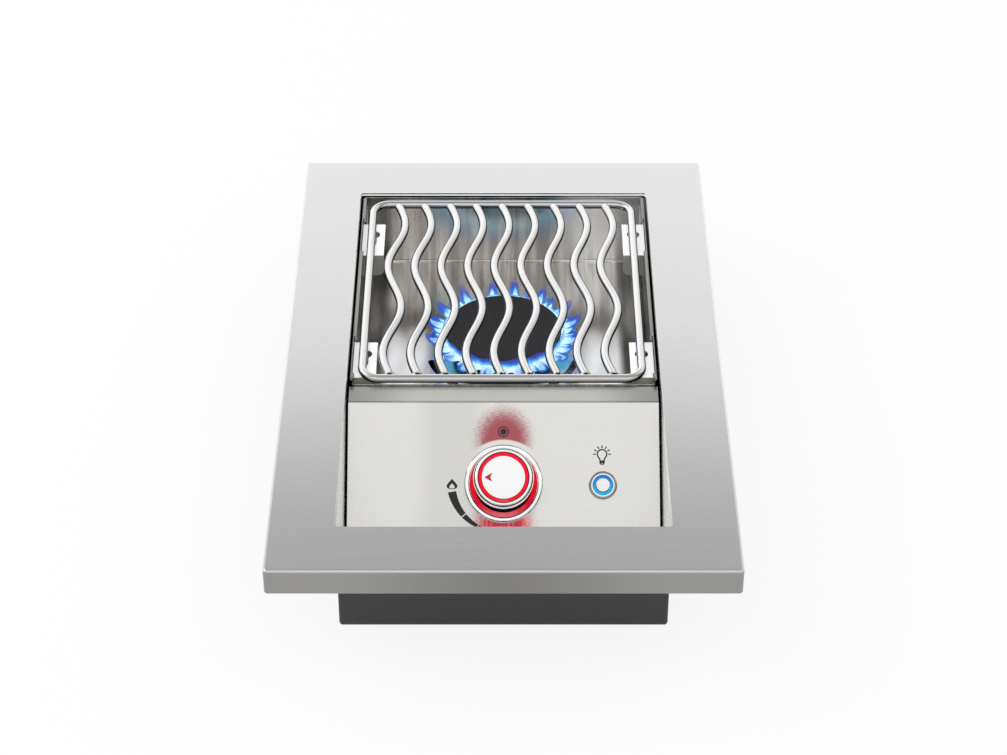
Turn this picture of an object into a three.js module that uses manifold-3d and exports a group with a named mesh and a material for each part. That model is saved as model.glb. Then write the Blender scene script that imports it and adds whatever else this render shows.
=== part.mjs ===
// A gas side burner that drops into an outdoor kitchen counter, with its lit knob, its push button and
// everything inside the housing. Millimetres, +X to the right, +Y to the back, +Z up. The origin is the
// middle of the housing's underside.
import * as THREE from 'three';
import { mergeVertices } from 'three/addons/utils/BufferGeometryUtils.js';
import Module from 'manifold-3d';

const wasm = await Module();
wasm.setup();

// General clearances and facets
const SEAT = 0.3;
const RUNNING_GAP = 0.3;
const OVERRUN = 2;
const FINE = 28;
const ROUND = 20;
const SMALL = 10;
const QUARTER = 4;

// Trim frame
const FRAME_WIDTH = 355.6;
const FRAME_LENGTH = 558.8;
const FRAME_BAR = 50.8;
const TOTAL_HEIGHT = 101.6;
const FRAME_SHEET = 1;
const FRAME_BEND = 2;
const LIP_HEIGHT = 22.4;
const LIP_RETURN = 12;
const STUD_RADIUS = 2.4;
const STUD_LENGTH = 9;
const STUD_ROWS = 3;
const STUD_PITCH_SHARE = 0.83;
const STUD_INSET = 13;
const NUT_FLATS = 8;
const NUT_HEIGHT = 4;

// Outer housing
const HOUSING_SHEET = 0.8;
const HOUSING_SIDE_GAP = 0.6;
const FLANGE_WIDTH = 24;
const VENT_BRIDGE = 16;
const VENT_WIDTH = 6;
const VENT_PITCH_SHARE = 0.2057;
const FRONT_VENTS = 4;
const REAR_VENTS = 3;
const VENT_FRONT_SETBACK = 17;
const VENT_REAR_SETBACK = 64;

// Burner pan
const PAN_SHEET = 0.8;
const PAN_GAP = 2;
const PAN_WALL_DROP = 3;
const PAN_FRONT_DROP = 7.2;
const PAN_FLOOR_HEIGHT = 30.1;
const AIR_SLOT_RADIUS = 64;
const AIR_SLOT_WIDTH = 6;
const AIR_SLOT_ANGLE = 150;
const AIR_SLOT_STEPS = 12;

// Rails under the pan
const RAIL_SHEET = 1.2;
const RAIL_FLANGE = 14;
const RAIL_INSET = 19.4;
const RAIL_END_SETBACK = 14;

// Cooking grate
const ROD_RADIUS = 3.5;
const ROD_DROP = 5;
const ROD_SIDES = 8;
const GRATE_SIDE_GAP = 6.25;
const GRATE_FRONT_GAP = 1.15;
const GRATE_BACK_GAP = 4.55;
const GRATE_CORNER = 14.5;
const WAVE_RODS = 9;
const WAVE_HEIGHT = 6.5;
const WAVES = 2;
const WAVE_STEPS = 20;

// Keyhole brackets that carry the grate
const BRACKET_SHEET = 1.5;
const BRACKET_WIDTH = 19.5;
const BRACKET_LENGTH = 48;
const BRACKET_LEG = 21;
const BRACKET_LEG_CORNER = 6;
const BRACKET_REAR_SETBACK = 34.2;
const BRACKET_FRONT_SETBACK = 11;
const KEYHOLE_RADIUS = 5.5;
const KEYHOLE_SETBACK = 16;
const KEYHOLE_SLOT_WIDTH = 5.4;
const KEYHOLE_SLOT_LENGTH = 16;

// Burner
const CAP_RADIUS = 50;
const CAP_THICKNESS = 5;
const CAP_EDGE = 1.6;
const CAP_RIM_THICKNESS = 1.4;
const CAP_RIM_DEPTH = 3;
const RING_RADIUS = 44;
const RING_WALL = 4;
const RING_HEIGHT = 7.7;
const PORTS = 16;
const PORT_WIDTH = 3.2;
const PORT_DEPTH = 3.6;
const BASE_HEIGHT = 10.6;
const BASE_FOOT_RADIUS = 32;
const BASE_FLOOR = 7;
const BASE_LIP = 1;
const THROAT_RADIUS = 10.5;
const SPIGOT_WALL = 1.2;
const SPIGOT_LENGTH = 8.4;
const BURNER_SCREW_PLACE = 22;
const SCREW_RADIUS = 2;
const SCREW_CLEARANCE = 0.3;
const SCREW_HEAD_RADIUS = 3.5;
const SCREW_HEAD_HEIGHT = 1.8;
const SCREW_BITE = 4.5;

// Mixer tube, air shutter and jet
const MIXER_RADIUS = 11;
const MIXER_WALL = 1;
const MIXER_HEIGHT = 15;
const MIXER_FRONT_REACH = 18.2;
const NECK_STANDOFF = 0.6;
const SHUTTER_LENGTH = 15;
const SHUTTER_WALL = 1;
const SHUTTER_SETBACK = 2;
const SHUTTER_TAB = 5;
const SHUTTER_TAB_WIDTH = 6;
const WINDOW_LENGTH = 8;
const WINDOW_HEIGHT = 9;
const JET_RADIUS = 3;
const JET_HEX = 11;
const JET_LENGTH = 8;
const JET_NOZZLE = 5;
const JET_NOZZLE_RADIUS = 2.2;
const JET_BORE = 1.2;
const JET_GAP = 3;
const HOLDER_WIDTH = 30;
const HOLDER_SHEET = 1.5;
const HOLDER_FOOT = 12;
const HOLDER_RISE = 7;

// Control panel
const PANEL_SIDE_GAP = 1.8;
const PANEL_SHEET = 1.2;
const PANEL_TILT = 41.5;
const PANEL_SETBACK = 43.1;
const LEDGE_DROP = 8;
const LEDGE_DEPTH = 21.6;
const PANEL_BACK_FLANGE = 24;
const PANEL_FOOT = 16;
const PANEL_SIDE_FLANGE = 10;
const PANEL_SIDE_START = 6;
const PANEL_SIDE_LENGTH = 118;
const FOOT_SCREW_INSET = 40.6;
const BACK_SCREW_INSET = 28.6;
const BACK_SCREW_DEPTH = 12;

// Knob and its bezel
const KNOB_PLACE_SHARE = 0.4841;
const KNOB_TRAVEL = 3;
const BEZEL_RADIUS = 31;
const BEZEL_HEIGHT = 5.4;
const BEZEL_RIM = 3.6;
const BEZEL_RIM_BEVEL = 1.2;
const BEZEL_FLOOR = 2.9;
const BEZEL_HOLE = 7.5;
const LIGHT_RING_INNER = 18.3;
const LIGHT_RING_THICKNESS = 0.8;
const KNOB_RADIUS = 24;
const KNOB_BOTTOM = 9.2;
const KNOB_TOP = 34.8;
const KNOB_EDGE = 2.4;
const KNOB_TAPER = 0.8;
const KNOB_WALL = 2;
const KNOB_HUB = 7.5;
const FACE_RECESS_RADIUS = 20.3;
const FACE_RECESS_DEPTH = 2.4;
const FACE_RING_OUTER = 19.7;
const FACE_RING_INNER = 17.5;
const FACE_RING_THICKNESS = 2;
const FACE_RADIUS = 17.2;
const FACE_THICKNESS = 2;
const FACE_DOME = 0.6;

// Valve, its stem, washer and spring, measured down from the panel's face
const VALVE_FLANGE_WIDTH = 42;
const VALVE_FLANGE_DEPTH = 20;
const VALVE_FLANGE_THICKNESS = 3.5;
const VALVE_SCREW_PLACE = 13;
const BONNET_RADIUS = 10;
const BONNET_LENGTH = 11;
const BLOCK_WIDTH = 26;
const BLOCK_LENGTH = 18;
const SPRING_ROOM_RADIUS = 6.5;
const SPRING_ROOM_DEPTH = 13.5;
const STEM_RADIUS = 4;
const STEM_FLAT = 3;
const STEM_TOP = 28;
const STEM_TAIL = 20;
const STEM_SHOULDER_RADIUS = 5.5;
const STEM_SHOULDER_TOP = 1.2;
const STEM_SHOULDER_HEIGHT = 1.7;
const STEM_HOLE = 7;
const WASHER_RADIUS = 6.1;
const WASHER_THICKNESS = 1.2;
const SPRING_WIRE = 0.6;
const SPRING_TURNS = 4;
const SPRING_STEPS = 8;
const SPRING_SIDES = 5;
const OUTLET_BORE = 2.5;
const INLET_BOSS_RADIUS = 6.5;
const INLET_BOSS_LENGTH = 11;
const INLET_BORE = 3.5;
const INLET_DEPTH = 25;

// Gas tubes and the inlet through the back wall
const FEED_RADIUS = 4;
const FEED_STEPS = 10;
const SUPPLY_RADIUS = 4.75;
const SUPPLY_SIDES = 8;
const SUPPLY_BEND = 12;
const SUPPLY_RUN_OUT = 22;
const INLET_PLACE_SHARE = 0.4747;
const INLET_HEIGHT = 14;
const FITTING_INNER_LENGTH = 12;
const FITTING_HEX = 18;
const FITTING_HEX_LENGTH = 6;
const FITTING_NECK_RADIUS = 7;
const FITTING_THREAD_RADIUS = 8;
const FITTING_THREAD_LENGTH = 17;
const FITTING_BORE = 4;
const FITTING_BORE_DEPTH = 14;
const LOCKNUT_FLATS = 22;
const LOCKNUT_HEIGHT = 5;

// Igniter
const IGNITER_REACH = 58;
const IGNITER_ANGLE = 98;
const INSULATOR_RADIUS = 3.2;
const INSULATOR_COLLAR = 6;
const INSULATOR_COLLAR_HEIGHT = 1.6;
const INSULATOR_RISE = 8;
const INSULATOR_DROP = 11;
const PIN_RADIUS = 0.9;
const PIN_TAIL = 4;
const PIN_RISE = 15;
const PIN_REACH = 10;
const PIN_BEND = 3;
const PIN_SIDES = 6;
const CLIP_RADIUS = 8;
const CLIP_THICKNESS = 1.2;
const LEAD_RADIUS = 1.6;
const LEAD_SIDES = 6;
const LEAD_BEND = 9;
const LEAD_HEIGHT = 6;
const LEAD_INSET = 8;
const MODULE_WIDTH = 56;
const MODULE_LENGTH = 34;
const MODULE_HEIGHT = 20;
const MODULE_CORNER = 3;
const MODULE_GAP_TO_PAN = 34;
const MODULE_BUTTON_OFFSET = 7.3;
const TRAY_SIDE_GAP = 22.35;
const BATTERY_RADIUS = 7.25;
const BATTERY_LENGTH = 50;
const BATTERY_NUB_RADIUS = 2.7;
const BATTERY_NUB_LENGTH = 1.3;
const TRAY_WALL = 1.5;
const TRAY_HEIGHT = 11;
const TRAY_GAP_TO_PAN = 26;
const SWITCH_WIDTH = 7;
const SWITCH_LENGTH = 20;
const SWITCH_HEIGHT = 11;
const SWITCH_DEPTH = 17;
const SWITCH_NUB = 1.5;

// Push button
const BUTTON_PLACE_SHARE = 0.6364;
const BUTTON_DROP = 1.1;
const BUTTON_RADIUS = 11.25;
const BUTTON_FLANGE = 2.6;
const BUTTON_BEVEL = 1;
const BUTTON_TRAVEL = 2;
const BARREL_RADIUS = 8;
const BARREL_LENGTH = 20;
const BUTTON_RING_OUTER = 8.2;
const BUTTON_RING_INNER = 5.75;
const BUTTON_RING_THICKNESS = 1.4;
const PLUNGER_RADIUS = 5.4;
const PLUNGER_PROUD = 0.6;
const PLUNGER_LENGTH = 8;
const BUTTON_NUT_FLATS = 22;
const BUTTON_NUT_HEIGHT = 3.5;
const LIGHT_LEAD_BEND = 3;
const LIGHT_LEAD_OVERHANG = 6;
const LIGHT_LEAD_HEIGHT = 9;

// Places worked out from the sizes
const HALF_WIDTH = FRAME_WIDTH / 2;
const HALF_LENGTH = FRAME_LENGTH / 2;
const OPENING_X = HALF_WIDTH - FRAME_BAR;
const OPENING_Y = HALF_LENGTH - FRAME_BAR;
const PLATE_UNDERSIDE = TOTAL_HEIGHT - FRAME_SHEET;
const LIP_BOTTOM = TOTAL_HEIGHT - LIP_HEIGHT;
const FLANGE_TOP = PLATE_UNDERSIDE - SEAT;
const FLANGE_BOTTOM = FLANGE_TOP - HOUSING_SHEET;
const HOUSING_X = OPENING_X - HOUSING_SIDE_GAP + HOUSING_SHEET;
const HOUSING_Y = OPENING_Y - HOUSING_SIDE_GAP + HOUSING_SHEET;
const HOUSING_INNER_X = HOUSING_X - HOUSING_SHEET;
const HOUSING_INNER_Y = HOUSING_Y - HOUSING_SHEET;
const FLOOR = HOUSING_SHEET;
const PANEL_X = HOUSING_INNER_X - PANEL_SIDE_GAP;
const LEDGE_HEIGHT = TOTAL_HEIGHT - LEDGE_DROP;
const FOOT_HEIGHT = FLOOR + SEAT + PANEL_SHEET;
const TILT = THREE.MathUtils.degToRad(PANEL_TILT);
const SLOPE_LENGTH = (LEDGE_HEIGHT - FOOT_HEIGHT) / Math.sin(TILT);
const SLOPE_END_Y = PANEL_SETBACK + PANEL_FOOT - HOUSING_INNER_Y;
const FOLD_Y = SLOPE_END_Y + SLOPE_LENGTH * Math.cos(TILT);
const LEDGE_BACK = FOLD_Y + LEDGE_DEPTH;
const PAN_X = HOUSING_INNER_X - PAN_GAP;
const PAN_BACK = HOUSING_INNER_Y - PAN_GAP;
const PAN_FRONT = LEDGE_BACK + SEAT;
const PAN_FLOOR = PAN_FLOOR_HEIGHT;
const PAN_UNDERSIDE = PAN_FLOOR - PAN_SHEET;
const GRATE_WIDTH = 2 * (PAN_X - PAN_SHEET - GRATE_SIDE_GAP - ROD_RADIUS);
const GRATE_FRONT = PAN_FRONT + PAN_SHEET + GRATE_FRONT_GAP + ROD_RADIUS;
const GRATE_BACK = PAN_BACK - PAN_SHEET - GRATE_BACK_GAP - ROD_RADIUS;
const GRATE_LENGTH = GRATE_BACK - GRATE_FRONT;
const BURNER_Y = (GRATE_FRONT + GRATE_BACK) / 2;
const ROD_HEIGHT = TOTAL_HEIGHT - ROD_DROP;
const BRACKET_TOP = ROD_HEIGHT - ROD_RADIUS - SEAT;
const BASE_BOTTOM = PAN_FLOOR + SEAT;
const BASE_TOP = BASE_BOTTOM + BASE_HEIGHT;
const RING_BOTTOM = BASE_TOP + SEAT;
const RING_TOP = RING_BOTTOM + RING_HEIGHT;
const CAP_BOTTOM = RING_TOP + SEAT;
const SPIGOT_RADIUS = THROAT_RADIUS + SPIGOT_WALL;
const NECK_INNER = SPIGOT_RADIUS + RUNNING_GAP;
const NECK_RADIUS = NECK_INNER + MIXER_WALL;
const NECK_TOP = PAN_UNDERSIDE - NECK_STANDOFF;
const MIXER_FRONT = PAN_FRONT - MIXER_FRONT_REACH;
const KNOB_PLACE = SLOPE_LENGTH * KNOB_PLACE_SHARE;
const BUTTON_PLACE_ACROSS = PANEL_X * BUTTON_PLACE_SHARE;
const BUTTON_PLACE_DOWN = KNOB_PLACE + BUTTON_DROP;
const FOOT_SCREW_SPREAD = PANEL_X - FOOT_SCREW_INSET;
const BACK_SCREW_SPREAD = PANEL_X - BACK_SCREW_INSET;
const INLET_PLACE = HOUSING_INNER_X * INLET_PLACE_SHARE;
const TRAY_HALF_WIDTH = BATTERY_RADIUS + SEAT + TRAY_WALL;
const TRAY_PLACE = HOUSING_INNER_X - TRAY_SIDE_GAP - TRAY_HALF_WIDTH;
const MODULE_PLACE = BUTTON_PLACE_ACROSS - MODULE_BUTTON_OFFSET;
const LEAD_PLACE = MODULE_PLACE - MODULE_WIDTH / 2 + LEAD_INSET;
const VENT_PITCH = 2 * HOUSING_INNER_X * VENT_PITCH_SHARE;
const VENT_LENGTH = VENT_PITCH - VENT_BRIDGE;
const STUD_PITCH = HOUSING_Y * STUD_PITCH_SHARE;
const FITTING_HEX_FACE = HOUSING_INNER_Y - SEAT;
const FITTING_START = FITTING_HEX_FACE - FITTING_INNER_LENGTH;

// A closed mesh with shared vertices, no empty triangles and its faces pointing out.
function weld(geometry) {
  const bare = new THREE.BufferGeometry();
  bare.setAttribute('position', geometry.getAttribute('position'));
  if (geometry.index) bare.setIndex(geometry.index);
  const merged = mergeVertices(bare, SEAT / 1000);
  const place = merged.getAttribute('position');
  const kept = [];
  let volume = 0;
  const [a, b, c] = [new THREE.Vector3(), new THREE.Vector3(), new THREE.Vector3()];
  for (let i = 0; i < merged.index.count; i += 3) {
    const corners = [merged.index.getX(i), merged.index.getX(i + 1), merged.index.getX(i + 2)];
    if (new Set(corners).size < 3) continue;
    kept.push(corners);
    a.fromBufferAttribute(place, corners[0]);
    b.fromBufferAttribute(place, corners[1]);
    c.fromBufferAttribute(place, corners[2]);
    volume += a.dot(b.cross(c));
  }
  merged.setIndex(kept.flatMap((corners) => (volume < 0 ? corners.reverse() : corners)));
  return merged;
}

function toSolid(geometry) {
  const closed = weld(geometry);
  const vertProperties = new Float32Array(closed.getAttribute('position').array);
  const triVerts = new Uint32Array(closed.index.array);
  return new wasm.Manifold(new wasm.Mesh({ numProp: 3, vertProperties, triVerts }));
}

function toGeometry(solid) {
  const mesh = solid.getMesh();
  const geometry = new THREE.BufferGeometry();
  geometry.setAttribute('position', new THREE.BufferAttribute(mesh.vertProperties, 3));
  geometry.setIndex(new THREE.BufferAttribute(mesh.triVerts, 1));
  return geometry;
}

function join(...shapes) {
  return toGeometry(shapes.map(toSolid).reduce((sum, solid) => sum.add(solid)));
}

function cut(shape, ...cutters) {
  return toGeometry(cutters.map(toSolid).reduce((rest, solid) => rest.subtract(solid), toSolid(shape)));
}

function box(x0, x1, y0, y1, z0, z1) {
  const geometry = new THREE.BoxGeometry(x1 - x0, y1 - y0, z1 - z0);
  return geometry.translate((x0 + x1) / 2, (y0 + y1) / 2, (z0 + z1) / 2);
}

// A closed outline of [radius, height] points turned about Z.
function turned(outline, segments = ROUND) {
  const points = outline.map(([radius, height]) => new THREE.Vector2(radius, height));
  if (outline[0][0] > 0) points.push(points[0].clone());
  return weld(new THREE.LatheGeometry(points, segments).rotateX(Math.PI / 2));
}

function rod(radius, z0, z1, segments = ROUND) {
  return turned([[0, z0], [radius, z0], [radius, z1], [0, z1]], segments);
}

function ring(inner, outer, z0, z1, segments = ROUND) {
  return turned([[inner, z0], [outer, z0], [outer, z1], [inner, z1]], segments);
}

function screw(headTop, headHeight, shankEnd) {
  const headBottom = headTop - Math.sign(headTop - shankEnd) * headHeight;
  const outline = [[0, shankEnd], [SCREW_RADIUS, shankEnd], [SCREW_RADIUS, headBottom]];
  outline.push([SCREW_HEAD_RADIUS, headBottom], [SCREW_HEAD_RADIUS, headTop], [0, headTop]);
  return turned(outline, SMALL);
}

function hexNut(flats, bore, z0, z1) {
  const nut = new THREE.CylinderGeometry(flats / Math.sqrt(3), flats / Math.sqrt(3), z1 - z0, 6);
  nut.rotateX(Math.PI / 2).translate(0, 0, (z0 + z1) / 2);
  return bore > 0 ? cut(nut, rod(bore, z0 - OVERRUN, z1 + OVERRUN)) : weld(nut);
}

// Turns a shape made along Z so that it lies along +Y, or along -X.
function alongY(geometry) {
  return geometry.rotateX(-Math.PI / 2);
}

function alongMinusX(geometry) {
  return geometry.rotateY(-Math.PI / 2);
}

// The sheet profile that follows the given folds, with its thickness on the right of the way it runs.
function sheetOutline(folds, thickness) {
  const offset = folds.map((point, i) => {
    const before = i > 0 ? point.clone().sub(folds[i - 1]).normalize() : null;
    const after = i < folds.length - 1 ? folds[i + 1].clone().sub(point).normalize() : null;
    const along = before && after ? before.clone().add(after).normalize() : (before ?? after);
    const aside = new THREE.Vector2(along.y, -along.x);
    const spread = before && after ? along.dot(after) : 1;
    return point.clone().addScaledVector(aside, thickness / spread);
  });
  return new THREE.Shape([...folds, ...offset.reverse()]);
}

// A shape drawn in (Y, Z) and pulled from x0 to x1.
function pulledAlongX(shape, x0, x1) {
  const turn = new THREE.Matrix4().makeBasis(
    new THREE.Vector3(0, 1, 0),
    new THREE.Vector3(0, 0, 1),
    new THREE.Vector3(1, 0, 0),
  );
  const pulled = new THREE.ExtrudeGeometry(shape, { depth: x1 - x0, bevelEnabled: false });
  return weld(pulled.applyMatrix4(turn).translate(x0, 0, 0));
}

// A shape drawn in (X, Z) and pulled from y0 to y1.
function pulledAlongY(shape, y0, y1) {
  const pulled = new THREE.ExtrudeGeometry(shape, { depth: y1 - y0, bevelEnabled: false });
  return weld(pulled.rotateX(Math.PI / 2).translate(0, y1, 0));
}

function pulledAlongZ(shape, z0, z1) {
  const pulled = new THREE.ExtrudeGeometry(shape, { depth: z1 - z0, bevelEnabled: false });
  return weld(pulled.translate(0, 0, z0));
}

// The corners of a route with each inner corner rounded to the given radius.
function roundedRoute(corners, radius, steps = QUARTER) {
  const route = [corners[0]];
  for (let i = 1; i < corners.length - 1; i += 1) {
    const back = corners[i - 1].clone().sub(corners[i]).normalize();
    const ahead = corners[i + 1].clone().sub(corners[i]).normalize();
    const half = Math.acos(THREE.MathUtils.clamp(back.dot(ahead), -1, 1)) / 2;
    const bisector = back.clone().add(ahead).normalize();
    const centre = corners[i].clone().addScaledVector(bisector, radius / Math.sin(half));
    const start = corners[i].clone().addScaledVector(back, radius / Math.tan(half)).sub(centre);
    const axis = bisector.clone().cross(start).normalize();
    const sweep = Math.PI - 2 * half;
    for (let k = 0; k <= steps; k += 1) {
      route.push(start.clone().applyAxisAngle(axis, (sweep * k) / steps).add(centre));
    }
  }
  route.push(corners[corners.length - 1]);
  return route;
}

// A round bar along a route of points, closed on itself where loop is true.
function barAlong(route, radius, sides, loop = false) {
  const count = route.length;
  const rings = [];
  let aside = null;
  for (let i = 0; i < count; i += 1) {
    const before = loop || i > 0 ? route[(i - 1 + count) % count] : route[i];
    const after = loop || i < count - 1 ? route[(i + 1) % count] : route[i];
    const intoPoint = route[i].clone().sub(before).normalize();
    const outOfPoint = after.clone().sub(route[i]).normalize();
    const along = intoPoint.clone().add(outOfPoint).normalize();
    if (!aside) {
      const helper = Math.abs(along.z) < 0.9 ? new THREE.Vector3(0, 0, 1) : new THREE.Vector3(1, 0, 0);
      aside = along.clone().cross(helper).normalize();
    }
    aside = aside.clone().addScaledVector(along, -aside.dot(along)).normalize();
    const up = aside.clone().cross(along).normalize();
    const ringPoints = [];
    for (let k = 0; k < sides; k += 1) {
      const angle = (2 * Math.PI * (k + 0.5)) / sides;
      const point = route[i].clone().addScaledVector(aside, radius * Math.cos(angle));
      ringPoints.push(point.addScaledVector(up, radius * Math.sin(angle)));
    }
    rings.push(ringPoints);
  }
  const triangles = [];
  const spans = loop ? count : count - 1;
  for (let i = 0; i < spans; i += 1) {
    const [near, far] = [rings[i], rings[(i + 1) % count]];
    for (let k = 0; k < sides; k += 1) {
      const next = (k + 1) % sides;
      triangles.push(near[k], far[k], near[next], near[next], far[k], far[next]);
    }
  }
  for (let k = 1; k < sides - 1 && !loop; k += 1) {
    const [first, last] = [rings[0], rings[count - 1]];
    triangles.push(first[0], first[k], first[k + 1], last[0], last[k + 1], last[k]);
  }
  return weld(new THREE.BufferGeometry().setFromPoints(triangles));
}

// Materials
function finish(color, roughness, metalness) {
  return new THREE.MeshStandardMaterial({ color, roughness, metalness });
}

const brushedSteel = finish(0xd4d4d2, 0.35, 1);
const sheetSteel = finish(0xaeaeaa, 0.4, 1);
const darkPaint = finish(0x4b4846, 0.6, 0.2);
const brightSteel = finish(0xe6e6e4, 0.25, 1);
const blackEnamel = finish(0x37373a, 0.6, 0.1);
const castAluminium = finish(0x9a9a98, 0.55, 1);
const brass = finish(0xc2a15c, 0.35, 1);
const chrome = finish(0xf2f2f2, 0.08, 1);
const redLight = finish(0xe01638, 0.4, 0);
const blueLight = finish(0x2aa8ff, 0.4, 0);
const blackPlastic = finish(0x1c1c1e, 0.5, 0);
const ceramic = finish(0xece8de, 0.35, 0);
const rubber = finish(0x2a2a2c, 0.8, 0);
const springSteel = finish(0x9c9ea0, 0.35, 1);
const batteryWrap = finish(0x6a7075, 0.4, 0.2);

const sideBurner = new THREE.Group();
sideBurner.name = 'built_in_side_burner';

function add(name, geometry, material, parent = sideBurner) {
  const mesh = new THREE.Mesh(geometry, material);
  mesh.name = name;
  parent.add(mesh);
  return mesh;
}

// The control panel's own frame: its origin on the fold, +Y up the slope and +Z out of the face.
const onPanel = new THREE.Group();
onPanel.position.set(0, FOLD_Y, LEDGE_HEIGHT);
onPanel.rotation.x = TILT;
onPanel.updateMatrix();
sideBurner.add(onPanel);

function panelPlace(x, down, out) {
  return new THREE.Vector3(x, -down, out).applyMatrix4(onPanel.matrix);
}

const outOfPanel = panelPlace(0, 0, 1).sub(panelPlace(0, 0, 0));

const frameStuds = [];
for (const side of [-1, 1]) {
  for (let row = 0; row < STUD_ROWS; row += 1) {
    const y = (row - (STUD_ROWS - 1) / 2) * STUD_PITCH;
    frameStuds.push([side * (HOUSING_X + STUD_INSET), y]);
  }
}

// Trim frame: a plate with a rounded outer fold, a lip down and a return inward, and its welded studs.
function trimFrame() {
  const levels = [[0, LIP_BOTTOM], [0, TOTAL_HEIGHT - FRAME_BEND]];
  for (let k = 1; k <= QUARTER; k += 1) {
    const angle = (Math.PI / 2) * (k / QUARTER);
    const inset = FRAME_BEND * (1 - Math.cos(angle));
    levels.push([inset, TOTAL_HEIGHT - FRAME_BEND + FRAME_BEND * Math.sin(angle)]);
  }
  const side = new THREE.Shape(levels.map(([inset, z]) => new THREE.Vector2(inset - HALF_WIDTH, z)));
  for (const [inset, z] of levels.toReversed()) side.lineTo(HALF_WIDTH - inset, z);
  const across = pulledAlongY(side, -HALF_LENGTH, HALF_LENGTH);
  const end = new THREE.Shape(levels.map(([inset, z]) => new THREE.Vector2(inset - HALF_LENGTH, z)));
  for (const [inset, z] of levels.toReversed()) end.lineTo(HALF_LENGTH - inset, z);
  const lengthways = pulledAlongX(end, -HALF_WIDTH, HALF_WIDTH);
  const block = toGeometry(toSolid(across).intersect(toSolid(lengthways)));
  const insideX = HALF_WIDTH - FRAME_SHEET;
  const insideY = HALF_LENGTH - FRAME_SHEET;
  const returnX = HALF_WIDTH - LIP_RETURN;
  const returnY = HALF_LENGTH - LIP_RETURN;
  const shell = cut(
    block,
    box(-insideX, insideX, -insideY, insideY, LIP_BOTTOM + FRAME_SHEET, PLATE_UNDERSIDE),
    box(-returnX, returnX, -returnY, returnY, LIP_BOTTOM - OVERRUN, PLATE_UNDERSIDE),
    box(-OPENING_X, OPENING_X, -OPENING_Y, OPENING_Y, LIP_BOTTOM, TOTAL_HEIGHT + OVERRUN),
  );
  const studs = frameStuds.map(([x, y]) =>
    rod(STUD_RADIUS, PLATE_UNDERSIDE - STUD_LENGTH, PLATE_UNDERSIDE + FRAME_SHEET / 2, SMALL)
      .translate(x, y, 0));
  return join(shell, ...studs);
}

add('trim_frame', trimFrame(), brushedSteel);
frameStuds.forEach(([x, y], i) => {
  const top = FLANGE_BOTTOM - SEAT;
  const nut = hexNut(NUT_FLATS, STUD_RADIUS + RUNNING_GAP, top - NUT_HEIGHT, top);
  add(`frame_nut_${i + 1}`, nut.translate(x, y, 0), brightSteel);
});

// Outer housing
const footScrewY = SLOPE_END_Y - PANEL_FOOT / 2;

function floorVents() {
  const vents = [];
  const half = VENT_LENGTH / 2;
  const rows = [
    [FRONT_VENTS, -HOUSING_Y + VENT_FRONT_SETBACK],
    [REAR_VENTS, HOUSING_Y - VENT_REAR_SETBACK],
  ];
  for (const [count, y] of rows) {
    const [front, back] = [y - VENT_WIDTH / 2, y + VENT_WIDTH / 2];
    for (let i = 0; i < count; i += 1) {
      const x = (i - (count - 1) / 2) * VENT_PITCH;
      vents.push(box(x - half, x + half, front, back, -OVERRUN, FLOOR + OVERRUN));
    }
  }
  return vents;
}

function outerHousing() {
  const flangeX = HOUSING_X + FLANGE_WIDTH;
  const flangeY = HOUSING_Y + FLANGE_WIDTH;
  const block = join(
    box(-HOUSING_X, HOUSING_X, -HOUSING_Y, HOUSING_Y, 0, FLANGE_TOP),
    box(-flangeX, flangeX, -flangeY, flangeY, FLANGE_BOTTOM, FLANGE_TOP),
  );
  const room = box(
    -HOUSING_INNER_X, HOUSING_INNER_X, -HOUSING_INNER_Y, HOUSING_INNER_Y, FLOOR, FLANGE_TOP + OVERRUN);
  const studHoles = frameStuds.map(([x, y]) =>
    rod(STUD_RADIUS + SCREW_CLEARANCE, FLANGE_BOTTOM - OVERRUN, FLANGE_TOP + OVERRUN, SMALL)
      .translate(x, y, 0));
  const inletHole = alongY(rod(FITTING_THREAD_RADIUS + SCREW_CLEARANCE, -OVERRUN, OVERRUN, ROUND))
    .translate(-INLET_PLACE, HOUSING_INNER_Y + HOUSING_SHEET / 2, INLET_HEIGHT);
  const footHoles = [-1, 1].map((side) =>
    rod(SCREW_RADIUS + SCREW_CLEARANCE, -OVERRUN, FLOOR + OVERRUN, SMALL)
      .translate(side * FOOT_SCREW_SPREAD, footScrewY, 0));
  return cut(block, room, ...studHoles, inletHole, ...footHoles, ...floorVents());
}

add('outer_housing', outerHousing(), darkPaint);

// Burner pan with its throat, screw, igniter and air slots
const igniterAngle = THREE.MathUtils.degToRad(IGNITER_ANGLE);
const igniterX = IGNITER_REACH * Math.cos(igniterAngle);
const igniterY = BURNER_Y + IGNITER_REACH * Math.sin(igniterAngle);
const backScrewZ = LEDGE_HEIGHT - BACK_SCREW_DEPTH;

function airSlot(middle) {
  const start = THREE.MathUtils.degToRad(middle - AIR_SLOT_ANGLE / 2);
  const sweep = THREE.MathUtils.degToRad(AIR_SLOT_ANGLE);
  const [inside, outside] = [[], []];
  for (let k = 0; k <= AIR_SLOT_STEPS; k += 1) {
    const angle = start + (sweep * k) / AIR_SLOT_STEPS;
    const aim = new THREE.Vector2(Math.cos(angle), Math.sin(angle));
    inside.push(aim.clone().multiplyScalar(AIR_SLOT_RADIUS - AIR_SLOT_WIDTH / 2));
    outside.push(aim.multiplyScalar(AIR_SLOT_RADIUS + AIR_SLOT_WIDTH / 2));
  }
  const outline = [...outside, ...inside.reverse()];
  return pulledAlongZ(new THREE.Shape(outline), PAN_UNDERSIDE - OVERRUN, PAN_FLOOR + OVERRUN)
    .translate(0, BURNER_Y, 0);
}

function floorHole(radius, x, y) {
  return rod(radius, PAN_UNDERSIDE - OVERRUN, PAN_FLOOR + OVERRUN, SMALL).translate(x, y, 0);
}

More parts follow.
